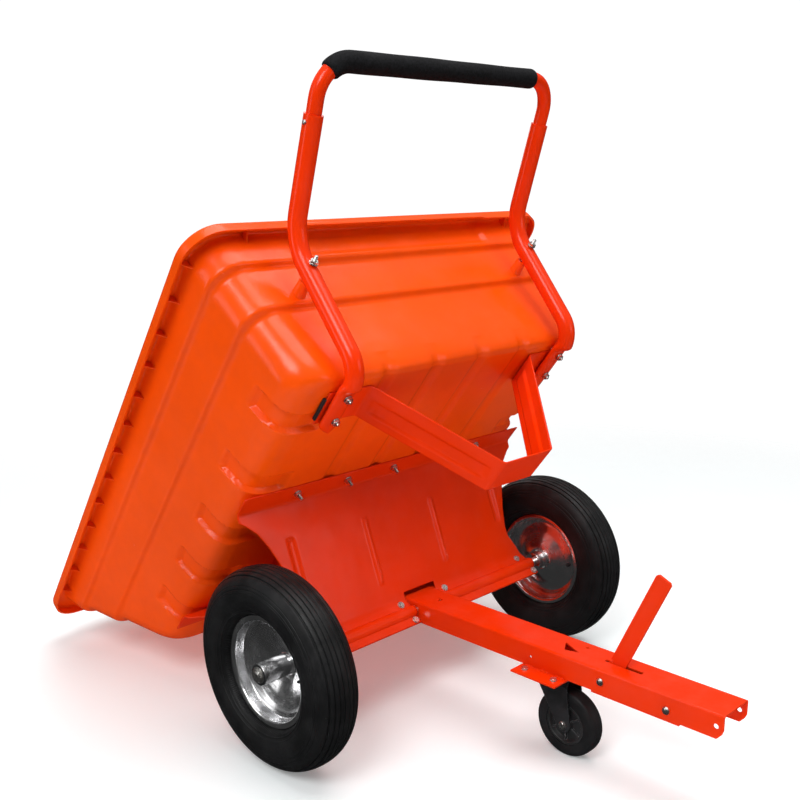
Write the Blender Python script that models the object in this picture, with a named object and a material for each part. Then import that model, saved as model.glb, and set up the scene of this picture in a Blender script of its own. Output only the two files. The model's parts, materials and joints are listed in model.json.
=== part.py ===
"""Tipping garden cart, shown with its tub tipped back to dump.

The drawbar points along -Y, the axle runs along X and +Z is up. The origin is on the
ground under the middle of the whole cart. The tub, its support plates, the latch bracket
and the handle turn together about the axle, so they are modelled in a hauling frame whose
origin is on the axle and whose parent empty is tipped. Right is the -X side of the cart.
"""
import math

import bmesh
import bpy
from mathutils import Matrix, Vector

GAP = 0.0003                 # clearance between touching pieces

# Wheels and axle
WHEEL_RADIUS = 0.200
WHEEL_TRACK_HALF = 0.415
TYRE_WIDTH = 0.100
RIM_RADIUS = 0.111
RIM_HALF_WIDTH = 0.028
HUB_RADIUS = 0.0215
HUB_INNER_END = -0.052       # along the axle from the middle of the wheel, towards the cart
HUB_OUTER_END = 0.043
VALVE_RADIUS = 0.075          # from the axle to the valve
AXLE_RADIUS = 0.010
AXLE_Y = -0.0609
AXLE_Z = WHEEL_RADIUS
AXLE_HALF_LENGTH = 0.466

# Tipping
TIP_ANGLE = math.radians(52.0)

# Tub, in the hauling frame
RIM_HALF_WIDTH_TUB = 0.479
TUB_FRONT = 0.581
TUB_REAR = -0.612
TUB_TAPER = 0.035
TUB_WALL = 0.004
TUB_FLOOR = 0.262
TUB_CORNER_STEPS = 6

# Support plates, in the hauling frame
SHEET = 0.0025
PLATE_TOP = TUB_FLOOR - GAP
PLATE_BEND_FRONT = 0.142
PLATE_BEND_REAR = 0.200
PLATE_FLANGE = 0.048
PLATE_FOOT = -0.030
CLAMP_BOLT_HEIGHT = 0.0215
NOTCH_HALF_WIDTH = 0.0465
NOTCH_TOP = 0.044

# Latch bracket, in the hauling frame
BRACKET_BACK = 0.385
BRACKET_FRONT = 0.463
BRACKET_SHEET = 0.003
BRACKET_FOOT_HALF = 0.070
BRACKET_SHOULDER = 0.232
BRACKET_FLANGE_END = 0.334

# Handle
TUBE_RADIUS = 0.0175
TUBE_BORE = 0.0147
TUBE_X = 0.308
BAR_RADIUS = 0.0140
BAR_BORE = 0.0115
BAR_CREST = 0.088             # from the lower tube's end to the cross bar
BAR_BEND = 0.062
GRIP_RADIUS = 0.0195
GRIP_LEFT_END = 0.244         # the sleeve stops before the left bend and goes a little way round the right one
GRIP_WRAP = 0.45              # share of the right bend that it covers
BAR_BEND_STEPS = 6
FOOT_FLAT = 0.477           # the foot is flat behind this and round ahead of the next
FOOT_ROUND = 0.500

# Drawbar
DRAWBAR_HALF_WIDTH = 0.0415
DRAWBAR_TOP = 0.2225
DRAWBAR_BOTTOM = 0.1765
DRAWBAR_WALL = 0.003
DRAWBAR_REAR = 0.034         # behind the axle
DRAWBAR_FRONT = -0.716       # ahead of the axle

# Latch pedal and its channel
PIVOT_Y = -0.471
PIVOT_Z = 0.199
PEDAL_LEAN = math.radians(24.0)
PEDAL_WIDTH = 0.032
PEDAL_THICKNESS = 0.006
PEDAL_LENGTH = 0.235
CHANNEL_BACK = -0.450
CHANNEL_FRONT = -0.632
CHANNEL_BOLT_Y = -0.608

# Caster
SWIVEL_Y = -0.345
CASTER_TRAIL = 0.034
CASTER_RADIUS = 0.068
CASTER_WIDTH = 0.036
BRACKET_PLATE_HALF = 0.080
BRACKET_PLATE_LENGTH = 0.104


def clear_scene():
    for item in list(bpy.data.objects):
        bpy.data.objects.remove(item, do_unlink=True)


def principled(name, colour, roughness, metallic=0.0):
    material = bpy.data.materials.new(name)
    material.use_nodes = True
    shader = material.node_tree.nodes["Principled BSDF"]
    shader.inputs["Base Color"].default_value = (*colour, 1.0)
    shader.inputs["Roughness"].default_value = roughness
    shader.inputs["Metallic"].default_value = metallic
    return material


def empty(name, location, rotation=(0.0, 0.0, 0.0)):
    frame = bpy.data.objects.new(name, None)
    frame.location = location
    frame.rotation_euler = rotation
    bpy.context.scene.collection.objects.link(frame)
    return frame


def mesh_from(name, shapes):
    """One mesh from a list of closed shapes, each a pair of vertex and face lists."""
    build = bmesh.new()
    for vertices, faces in shapes:
        made = [build.verts.new(point) for point in vertices]
        for face in faces:
            build.faces.new([made[index] for index in face])
    bmesh.ops.recalc_face_normals(build, faces=build.faces[:])
    mesh = bpy.data.meshes.new(name)
    build.to_mesh(mesh)
    build.free()
    return mesh


def add_part(name, shapes, material, parent, location=(0.0, 0.0, 0.0), rotation=(0.0, 0.0, 0.0), sharp=35.0):
    mesh = mesh_from(name, shapes)
    mesh.materials.append(material)
    part = bpy.data.objects.new(name, mesh)
    bpy.context.scene.collection.objects.link(part)
    part.location = location
    part.rotation_euler = rotation
    part.parent = parent
    mesh.shade_smooth()
    mesh.set_sharp_from_angle(angle=math.radians(sharp))
    return part


def add_boolean(part, shapes, operation="DIFFERENCE"):
    """Cut the part with one hidden wire object that holds every shape."""
    name = part.name + "_" + operation.lower()
    cutter = bpy.data.objects.new(name, mesh_from(name, shapes))
    bpy.context.scene.collection.objects.link(cutter)
    cutter.location = part.location
    cutter.rotation_euler = part.rotation_euler
    cutter.parent = part.parent
    cutter.hide_render = True
    cutter.display_type = "WIRE"
    modifier = part.modifiers.new(name, "BOOLEAN")
    modifier.operation = operation
    modifier.solver = "EXACT"
    modifier.object = cutter


def turned_axes(axis):
    """Right-handed axes whose third one is the given axis."""
    third = Vector(axis).normalized()
    helper = Vector((0.0, 0.0, 1.0)) if abs(third.z) < 0.9 else Vector((1.0, 0.0, 0.0))
    first = helper.cross(third).normalized()
    return first, third.cross(first), third


def prism(outline, low, high, axis):
    """A flat outline extruded along X, Y or Z between two positions."""
    def place(a, b, c):
        if axis == "X":
            return (c, a, b)
        if axis == "Y":
            return (a, c, b)
        return (a, b, c)

    count = len(outline)
    vertices = [place(a, b, low) for a, b in outline] + [place(a, b, high) for a, b in outline]
    faces = [tuple(range(count)), tuple(range(2 * count - 1, count - 1, -1))]
    for i in range(count):
        j = (i + 1) % count
        faces.append((i, j, count + j, count + i))
    return vertices, faces


def box(low, high):
    outline = [(low[0], low[1]), (high[0], low[1]), (high[0], high[1]), (low[0], high[1])]
    return prism(outline, low[2], high[2], "Z")


def cylinder(centre, axis, radius, length, segments=8):
    """A cylinder centred on a point."""
    first, second, third = turned_axes(axis)
    vertices = []
    for end in (-0.5, 0.5):
        for i in range(segments):
            angle = 2.0 * math.pi * i / segments
            offset = first * math.cos(angle) * radius + second * math.sin(angle) * radius
            vertices.append(tuple(Vector(centre) + offset + third * length * end))
    faces = [tuple(range(segments)), tuple(range(2 * segments - 1, segments - 1, -1))]
    for i in range(segments):
        j = (i + 1) % segments
        faces.append((i, j, segments + j, segments + i))
    return vertices, faces


def ring_of_revolution(profile, segments, axis="X"):
    """A closed profile of (along, radius) points turned about an axis it never touches."""
    vertices = []
    for i in range(segments):
        angle = 2.0 * math.pi * i / segments
        c, s = math.cos(angle), math.sin(angle)
        for along, radius in profile:
            vertices.append((along, radius * c, radius * s) if axis == "X" else (radius * c, radius * s, along))
    faces = []
    count = len(profile)
    for i in range(segments):
        for k in range(count):
            a, b = i * count + k, i * count + (k + 1) % count
            c, d = ((i + 1) % segments) * count + k, ((i + 1) % segments) * count + (k + 1) % count
            faces.append((a, b, d, c))
    return vertices, faces


def solid_of_revolution(profile, segments, centre=(0.0, 0.0, 0.0), axis=(0.0, 0.0, 1.0)):
    """A profile of (along, radius) points turned about an axis and closed at both ends by a cap."""
    first, second, third = turned_axes(axis)
    vertices = []
    for along, radius in profile:
        for i in range(segments):
            angle = 2.0 * math.pi * i / segments
            offset = first * math.cos(angle) * radius + second * math.sin(angle) * radius
            vertices.append(tuple(Vector(centre) + offset + third * along))
    faces = [tuple(range(segments))]
    for k in range(len(profile) - 1):
        for i in range(segments):
            j = (i + 1) % segments
            faces.append((k * segments + i, k * segments + j, (k + 1) * segments + j, (k + 1) * segments + i))
    last = (len(profile) - 1) * segments
    faces.append(tuple(range(last + segments - 1, last - 1, -1)))
    return vertices, faces


def strip_outline(path, thickness):
    """The outline of a bent strip whose middle line is the path, with mitred bends."""
    left, right = [], []
    for i, point in enumerate(path):
        here = Vector(point)
        before = (here - Vector(path[i - 1])).normalized() if i > 0 else None
        after = (Vector(path[i + 1]) - here).normalized() if i < len(path) - 1 else None
        before = before or after
        after = after or before
        along = (before + after).normalized()
        normal = Vector((-along.y, along.x))
        reach = thickness / 2.0 / max(0.35, normal.dot(Vector((-after.y, after.x))))
        left.append(tuple(here + normal * reach))
        right.append(tuple(here - normal * reach))
    return left + right[::-1]


def arc(centre, radius, start, end, steps):
    points = []
    for i in range(steps + 1):
        angle = math.radians(start + (end - start) * i / steps)
        points.append((centre[0] + radius * math.cos(angle), centre[1] + radius * math.sin(angle)))
    return points


def rounded_path(points, radii, steps):
    """A 3-D path through the points with each inner corner rounded to its radius."""
    path = [Vector(points[0])]
    for i in range(1, len(points) - 1):
        corner, radius = Vector(points[i]), radii[i - 1]
        to_before = (Vector(points[i - 1]) - corner).normalized()
        to_after = (Vector(points[i + 1]) - corner).normalized()
        half = to_before.angle(to_after) / 2.0
        reach = radius / math.tan(half)
        centre = corner + (to_before + to_after).normalized() * radius / math.sin(half)
        start = corner + to_before * reach - centre
        end = corner + to_after * reach - centre
        swing = start.angle(end)
        for step in range(steps + 1):
            t = step / steps
            spoke = start * math.sin((1.0 - t) * swing) + end * math.sin(t * swing)
            path.append(centre + spoke / math.sin(swing))
    path.append(Vector(points[-1]))
    return path


def rings_along(path, radius, segments):
    """Rings of points around a path, carried along it without twist."""
    tangents = []
    for i in range(len(path)):
        before = path[max(i - 1, 0)]
        after = path[min(i + 1, len(path) - 1)]
        tangents.append((after - before).normalized())
    first, second, _ = turned_axes(tangents[0])
    rings = []
    for i, point in enumerate(path):
        if i:
            turn = tangents[i - 1].rotation_difference(tangents[i])
            first = turn @ first
            second = turn @ second
        ring = []
        for k in range(segments):
            angle = 2.0 * math.pi * k / segments
            ring.append(point + first * math.cos(angle) * radius + second * math.sin(angle) * radius)
        rings.append(ring)
    return rings


def swept_tube(path, radius, bore, segments):
    """A tube along a path, open at both ends."""
    outer = rings_along(path, radius, segments)
    inner = rings_along(path, bore, segments)
    loop = outer + inner[::-1]
    vertices = [tuple(point) for ring in loop for point in ring]
    faces = []
    for k in range(len(loop)):
        n = (k + 1) % len(loop)
        for i in range(segments):
            j = (i + 1) % segments
            faces.append((k * segments + i, k * segments + j, n * segments + j, n * segments + i))
    return vertices, faces


def bolt_profile(grip, head_radius, head_height, shank_radius, nut_radius, nut_height, tail, domed):
    """Head below zero, shank through the grip, nut and a threaded tail beyond it."""
    profile = [(-head_height, head_radius * (0.55 if domed else 0.86))]
    profile.append((-head_height * 0.55, head_radius))
    profile += [(0.0, head_radius), (0.0, shank_radius), (grip, shank_radius)]
    if nut_height:
        profile += [(grip, nut_radius), (grip + nut_height, nut_radius), (grip + nut_height, shank_radius)]
    profile.append((grip + nut_height + tail, shank_radius))
    return profile


def add_bolt(name, material, parent, start, axis, grip, head=0.0080, head_height=0.004, shank=0.0036,
             nut=0.0080, nut_height=0.0060, tail=0.004, domed=False, segments=6):
    profile = bolt_profile(grip + 2.0 * GAP, head, head_height, shank, nut, nut_height, tail, domed)
    origin = Vector(start) - Vector(axis).normalized() * GAP
    return add_part(name, [solid_of_revolution(profile, segments, origin, axis)], material, parent)


# ---------------------------------------------------------------- tub

# Height, then how far each wall stands in from the edge of the rim: sides, front and rear.
TUB_OUTSIDE = [
    (0.585, 0.000, 0.000, 0.000),
    (0.562, 0.000, 0.000, 0.000),
    (0.562, 0.005, 0.005, 0.005),
    (0.578, 0.005, 0.005, 0.005),
    (0.578, 0.028, 0.028, 0.028),
    (0.514, 0.032, 0.034, 0.064),
    (0.507, 0.043, 0.046, 0.080),
    (0.424, 0.052, 0.055, 0.142),
    (0.417, 0.063, 0.067, 0.158),
    (0.330, 0.071, 0.074, 0.225),
    (0.300, 0.075, 0.078, 0.247),
    (0.279, 0.085, 0.083, 0.264),
    (0.267, 0.101, 0.090, 0.280),
    (0.262, 0.123, 0.101, 0.302),
]
TUB_FIRST_WALL_LEVEL = 4


def tub_ring(height, side, front, rear, radius):
    """One level of the tub: a rectangle with rounded corners that narrows to the rear."""
    half = RIM_HALF_WIDTH_TUB - side
    low, high = TUB_REAR + rear, TUB_FRONT - front
    corners = [(half - radius, high - radius, 0.0), (-half + radius, high - radius, 90.0),
               (-half + radius, low + radius, 180.0), (half - radius, low + radius, 270.0)]
    ring = []
    for x, u, start in corners:
        for px, pu in arc((x, u), radius, start, start + 90.0, TUB_CORNER_STEPS):
            ring.append((px * (1.0 + TUB_TAPER * pu), -pu, height))
    return ring


def tub_levels():
    levels = list(TUB_OUTSIDE)
    inside = []
    for height, side, front, rear in TUB_OUTSIDE[TUB_FIRST_WALL_LEVEL + 1:]:
        inside.append((height + 0.8 * TUB_WALL, side + TUB_WALL, front + TUB_WALL, rear + TUB_WALL))
    floor = inside[-1]
    inside[-1] = (TUB_FLOOR + TUB_WALL, floor[1], floor[2], floor[3])
    top = TUB_OUTSIDE[TUB_FIRST_WALL_LEVEL]
    inner_edge = (TUB_OUTSIDE[0][0], top[1] + TUB_WALL, top[2] + TUB_WALL, top[3] + TUB_WALL)
    return [inner_edge] + levels + inside[::-1]


def tub_shape():
    levels = tub_levels()
    outside_end = 1 + len(TUB_OUTSIDE)
    rings = []
    for height, side, front, rear in levels:
        radius = 0.070 - min(side, 0.060) * 0.25
        rings.append(tub_ring(height, side, front, rear, radius))
    count = len(rings[0])
    vertices = [point for ring in rings for point in ring]
    faces = []
    for k in range(len(rings)):
        n = (k + 1) % len(rings)
        if k == outside_end - 1:
            continue
        for i in range(count):
            j = (i + 1) % count
            faces.append((k * count + i, k * count + j, n * count + j, n * count + i))
    last = (outside_end - 1) * count
    faces.append(tuple(range(last, last + count)))
    faces.append(tuple(range(last + 2 * count - 1, last + count - 1, -1)))
    return vertices, faces


# ---------------------------------------------------------------- support plates

def plate_path(bend):
    """Section of a support plate in (forward, up): clamp foot, half ridge over the axle, web and flange."""
    face = GAP + SHEET / 2.0
    ridge = AXLE_RADIUS + 3.0 * GAP + SHEET / 2.0
    start = math.degrees(math.asin((face) / ridge))
    path = [(face, PLATE_FOOT), (face, -ridge * math.cos(math.radians(start)) - 0.0004)]
    path += arc((0.0, 0.0), ridge, -90.0 + start + 14.0, 90.0 - start - 14.0, 6)
    path += [(face, ridge * math.cos(math.radians(start)) + 0.0004), (face, 0.031)]
    path += [(bend, PLATE_TOP - SHEET / 2.0), (bend + PLATE_FLANGE, PLATE_TOP - SHEET / 2.0)]
    return path


# Half of the plate's outline seen along the cart: distance from the middle and height.
PLATE_EDGE = [
    (0.352, -0.040), (0.352, 0.004), (0.346, 0.022), (0.335, 0.048), (0.318, 0.074), (0.316, 0.092),
    (0.325, 0.130), (0.338, 0.165), (0.352, 0.195), (0.370, 0.222), (0.392, 0.240), (0.404, 0.247),
    (0.404, 0.275),
]


def plate_outline():
    right = [(-x, z) for x, z in PLATE_EDGE]
    notch = [(NOTCH_HALF_WIDTH, -0.040), (NOTCH_HALF_WIDTH, NOTCH_TOP),
             (-NOTCH_HALF_WIDTH, NOTCH_TOP), (-NOTCH_HALF_WIDTH, -0.040)]
    return PLATE_EDGE + right[::-1] + notch[::-1]


CLAMP_UPPER = (-0.320, -0.068, 0.068, 0.320)
CLAMP_LOWER = (-0.343, -0.058, 0.058, 0.343)
FRONT_FLANGE_BOLTS = (-0.267, -0.133, 0.0, 0.133, 0.267)
REAR_FLANGE_BOLTS = (-0.267, 0.0, 0.267)


def add_support_plate(name, material, parent, direction, bend, flange_bolts):
    outline = [(-direction * u, w) for u, w in strip_outline(plate_path(bend), SHEET)]
    plate = add_part(name, [prism(outline, -0.410, 0.410, "X")], material, parent)
    add_boolean(plate, [prism(plate_outline(), -0.300, 0.300, "Y")], "INTERSECT")
    holes = []
    for x in CLAMP_UPPER:
        holes.append(cylinder((x, -direction * 0.0015, CLAMP_BOLT_HEIGHT), (0, 1, 0), 0.0042, 0.012))
    for x in CLAMP_LOWER:
        holes.append(cylinder((x, -direction * 0.0015, -CLAMP_BOLT_HEIGHT), (0, 1, 0), 0.0042, 0.012))
    for x in flange_bolts:
        spot = -direction * (bend + PLATE_FLANGE / 2.0)
        holes.append(cylinder((x, spot, PLATE_TOP), (0, 0, 1), 0.0042, 0.020))
    add_boolean(plate, holes)
    return plate


# ---------------------------------------------------------------- handle

def tube_centre_height():
    return TUB_FLOOR - 2.0 * GAP - BRACKET_SHEET - TUBE_RADIUS - GAP


def tube_corners(x):
    """Bottom end, lower bend, upper bend and top end of a lower handle tube."""
    low = tube_centre_height()
    return [(x, -0.375, low), (x, -0.526, low), (x, -0.594, 0.508), (x, -0.802, 0.587)]


def bar_corners():
    """Upper handle bar, pushed 60 mm into each lower tube."""
    top = Vector(tube_corners(TUBE_X)[3])
    along = (top - Vector(tube_corners(TUBE_X)[2])).normalized()
    inside = top - along * 0.060
    crest = top + along * BAR_CREST
    mirrored = Matrix.Scale(-1.0, 3, (1.0, 0.0, 0.0))
    return [inside, crest, mirrored @ crest, mirrored @ inside]


TUBE_BOLTS = (0.408, 0.466)
WALL_BOLT_HEIGHT = 0.445


def flattened_foot(shape, x):
    """Press the bolted foot of a tube flat against the flange above it."""
    top = tube_centre_height() + TUBE_RADIUS
    vertices = []
    for px, py, pz in shape[0]:
        press = min(1.0, max(0.0, (py + FOOT_ROUND) / (FOOT_ROUND - FOOT_FLAT)))
        height = top - (top - pz) * (1.0 - 0.42 * press)
        vertices.append((x + (px - x) * (1.0 + 0.20 * press), py, height))
    return vertices, shape[1]


def add_tube(name, material, parent, x):
    path = rounded_path(tube_corners(x), (0.058, 0.105), 5)
    path[1:1] = [path[0].lerp(path[1], 0.96)]
    shape = flattened_foot(swept_tube(path, TUBE_RADIUS, TUBE_BORE, 12), x)
    tube = add_part(name, [shape], material, parent)
    holes = [cylinder((x, -u, tube_centre_height()), (0, 0, 1), 0.0042, 0.060) for u in TUBE_BOLTS]
    holes.append(cylinder((x, -0.585, WALL_BOLT_HEIGHT), (0, 1, 0), 0.0042, 0.080))
    top = Vector(tube_corners(x)[3])
    along = (top - Vector(tube_corners(x)[2])).normalized()
    side = math.copysign(1.0, x)
    holes.append(cylinder(top - along * 0.014 + Vector((side * TUBE_RADIUS, 0, 0)), (1, 0, 0), 0.0030, 0.014))
    add_boolean(tube, holes)
    return tube


# ---------------------------------------------------------------- assemblies

def build_tipping_assembly(materials, frame):
    tub = add_part("tub", [tub_shape()], materials["poly"], frame)
    holes = [cylinder((x, -(PLATE_BEND_FRONT + PLATE_FLANGE / 2.0), TUB_FLOOR), (0, 0, 1), 0.0042, 0.020)
             for x in FRONT_FLANGE_BOLTS]
    holes += [cylinder((x, PLATE_BEND_REAR + PLATE_FLANGE / 2.0, TUB_FLOOR), (0, 0, 1), 0.0042, 0.020)
              for x in REAR_FLANGE_BOLTS]
    for side in (-1.0, 1.0):
        x = side * TUBE_X
        holes += [cylinder((x, -u, TUB_FLOOR), (0, 0, 1), 0.0042, 0.030) for u in TUBE_BOLTS]
        holes.append(cylinder((x, -0.530, WALL_BOLT_HEIGHT), (0, 1, 0), 0.0042, 0.040))
    add_boolean(tub, holes)

    steel, bright = materials["steel"], materials["bright"]
    add_support_plate("front_support_plate", steel, frame, 1.0, PLATE_BEND_FRONT, FRONT_FLANGE_BOLTS)
    add_support_plate("rear_support_plate", steel, frame, -1.0, PLATE_BEND_REAR, REAR_FLANGE_BOLTS)

    height = TUB_FLOOR - GAP - BRACKET_SHEET / 2.0
    foot = 0.0255
    half = [(BRACKET_FOOT_HALF, foot), (BRACKET_SHOULDER, height), (BRACKET_FLANGE_END, height)]
    path = [(-x, z) for x, z in half[::-1]] + half
    bracket = add_part("latch_bracket", [prism(strip_outline(path, BRACKET_SHEET), -BRACKET_FRONT,
                                               -BRACKET_BACK, "Y")], steel, frame)
    add_boolean(bracket, [cylinder((side * TUBE_X, -u, height), (0, 0, 1), 0.0042, 0.020)
                          for side in (-1.0, 1.0) for u in TUBE_BOLTS])

    for side, label in ((-1.0, "right"), (1.0, "left")):
        x = side * TUBE_X
        add_tube("handle_tube_" + label, steel, frame, x)
        for u, place in zip(TUBE_BOLTS, ("rear", "front")):
            top = TUB_FLOOR + TUB_WALL
            top_of_tube = tube_centre_height() + TUBE_RADIUS
            bottom = top_of_tube - 2.0 * TUBE_RADIUS * 0.58
            add_bolt("tube_bolt_" + label + "_" + place, bright, frame, (x, -u, top), (0, 0, -1),
                     top - bottom, domed=True)
        inner_face = 0.5220
        add_bolt("wall_bolt_" + label, bright, frame, (x, -inner_face, WALL_BOLT_HEIGHT), (0, -1, 0),
                 0.0765, tail=0.010, domed=True)
        top = Vector(tube_corners(x)[3])
        along = (top - Vector(tube_corners(x)[2])).normalized()
        seat = top - along * 0.014 + Vector((side * TUBE_RADIUS, 0, 0))
        profile = [(-0.0025, 0.0020), (-0.0012, 0.0045), (0.0, 0.0045), (0.0, 0.0022), (0.0028, 0.0022)]
        add_part("joint_screw_" + label, [solid_of_revolution(profile, 8, seat + Vector((side * GAP, 0, 0)),
                                                              (-side, 0, 0))], bright, frame)

    corners = bar_corners()
    bar_path = rounded_path(corners, (BAR_BEND, BAR_BEND), BAR_BEND_STEPS)
    add_part("handle_bar", [swept_tube(bar_path, BAR_RADIUS, BAR_BORE, 12)], steel, frame)
    crest = corners[1]
    covered = 1 + round(GRIP_WRAP * BAR_BEND_STEPS)
    bend_start = len(bar_path) - 2 - BAR_BEND_STEPS
    grip_path = [Vector((GRIP_LEFT_END, crest.y, crest.z))] + bar_path[bend_start:bend_start + covered]
    add_part("foam_grip", [swept_tube(grip_path, GRIP_RADIUS, BAR_RADIUS + 3.0 * GAP, 24)], materials["foam"], frame)

    for count, x in enumerate(FRONT_FLANGE_BOLTS, 1):
        add_bolt("front_flange_bolt_%d" % count, bright, frame,
                 (x, -(PLATE_BEND_FRONT + PLATE_FLANGE / 2.0), TUB_FLOOR + TUB_WALL), (0, 0, -1),
                 TUB_WALL + GAP + SHEET, tail=0.011, domed=True)
    for count, x in enumerate(REAR_FLANGE_BOLTS, 1):
        add_bolt("rear_flange_bolt_%d" % count, bright, frame,
                 (x, PLATE_BEND_REAR + PLATE_FLANGE / 2.0, TUB_FLOOR + TUB_WALL), (0, 0, -1),
                 TUB_WALL + GAP + SHEET, tail=0.011, domed=True)
    clamp_face = GAP + SHEET
    for level, positions in (("upper", CLAMP_UPPER), ("lower", CLAMP_LOWER)):
        height = CLAMP_BOLT_HEIGHT if level == "upper" else -CLAMP_BOLT_HEIGHT
        for count, x in enumerate(positions, 1):
            add_bolt("clamp_bolt_%s_%d" % (level, count), bright, frame, (x, -clamp_face, height), (0, 1, 0),
                     2.0 * clamp_face, head=0.0072, head_height=0.0035, nut=0.0072, nut_height=0.0045,
                     tail=0.003)


def build_wheel(label, side, materials):
    """A pneumatic wheel: tyre, pressed rim, hub tube and tyre valve."""
    centre = empty("wheel_frame_" + label, (side * WHEEL_TRACK_HALF, AXLE_Y, AXLE_Z))
    half = TYRE_WIDTH / 2.0
    seat = 0.1015
    section = [(-0.0200, seat + 0.0008), (-0.0215, seat + 0.0035), (-0.0240, RIM_RADIUS + 0.0010),
               (-0.0310, RIM_RADIUS + 0.0025), (-0.0400, RIM_RADIUS + 0.009),
               (-half, 0.150), (-half + 0.003, 0.170), (-half + 0.011, 0.186),
               (-half + 0.024, 0.196), (-0.010, WHEEL_RADIUS)]
    tyre = section + [(-along, radius) for along, radius in section[::-1]]
    add_part("tyre_" + label, [ring_of_revolution(tyre, 36)], materials["rubber"], centre, sharp=30.0)

    # The rim is symmetric about its mid-plane apart from the dish, which is set in towards the cart.
    out = side
    thickness = 0.0025
    dish = [(RIM_HALF_WIDTH, RIM_RADIUS), (RIM_HALF_WIDTH - 0.0025, RIM_RADIUS), (0.0225, 0.1045),
            (0.0215, seat - 0.0002), (-0.0215, seat - 0.0002), (-0.0225, 0.1045),
            (-RIM_HALF_WIDTH + 0.0025, RIM_RADIUS), (-RIM_HALF_WIDTH, RIM_RADIUS),
            (-RIM_HALF_WIDTH + 0.0010, 0.1020), (-0.0235, seat - 0.0002 - thickness),
            (-0.0010, seat - 0.0002 - thickness), (-0.0020, 0.0930), (-0.0075, 0.0860), (-0.0115, 0.0640),
            (-0.0205, 0.0420), (-0.0250, 0.0300), (-0.0250, HUB_RADIUS + GAP), (-0.0220, HUB_RADIUS + GAP),
            (-0.0220, 0.0305), (-0.0175, 0.0440), (-0.0085, 0.0660), (-0.0045, 0.0845), (0.0010, 0.0910),
            (0.0025, seat - 0.0002 - thickness), (0.0235, seat - 0.0002 - thickness),
            (RIM_HALF_WIDTH - 0.0010, 0.1020)]
    rim = [(out * along, radius) for along, radius in dish]
    rim_part = add_part("rim_" + label, [ring_of_revolution(rim, 24)], materials["zinc"], centre)
    add_boolean(rim_part, [cylinder((-out * 0.008, -VALVE_RADIUS, 0.0), (1, 0, 0), 0.0052, 0.024, 10)])

    hub = [(out * HUB_INNER_END, AXLE_RADIUS + GAP), (out * HUB_INNER_END, HUB_RADIUS),
           (out * HUB_OUTER_END, HUB_RADIUS), (out * HUB_OUTER_END, AXLE_RADIUS + GAP)]
    add_part("hub_" + label, [ring_of_revolution(hub, 24)], materials["bright"], centre)

    valve = [(-0.009, 0.0035), (-0.004, 0.0048), (0.010, 0.0040), (0.014, 0.0030), (0.020, 0.0030)]
    add_part("valve_" + label, [solid_of_revolution(valve, 10, (-out * 0.008, -VALVE_RADIUS, 0.0), (out, 0, 0))],
             materials["rubber"], centre)

    bore = (AXLE_RADIUS + GAP) / math.cos(math.pi / 12.0)
    nut = [(out * (HUB_OUTER_END + GAP), bore), (out * (HUB_OUTER_END + GAP), 0.0165),
           (out * (HUB_OUTER_END + 0.0015), 0.0165), (out * (HUB_OUTER_END + 0.0015), 0.0140),
           (out * (HUB_OUTER_END + 0.0068), 0.0132), (out * (HUB_OUTER_END + 0.0068), bore)]
    add_part("axle_nut_" + label, [ring_of_revolution(nut, 12)], materials["bright"], None,
             (side * WHEEL_TRACK_HALF, AXLE_Y, AXLE_Z))


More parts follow.
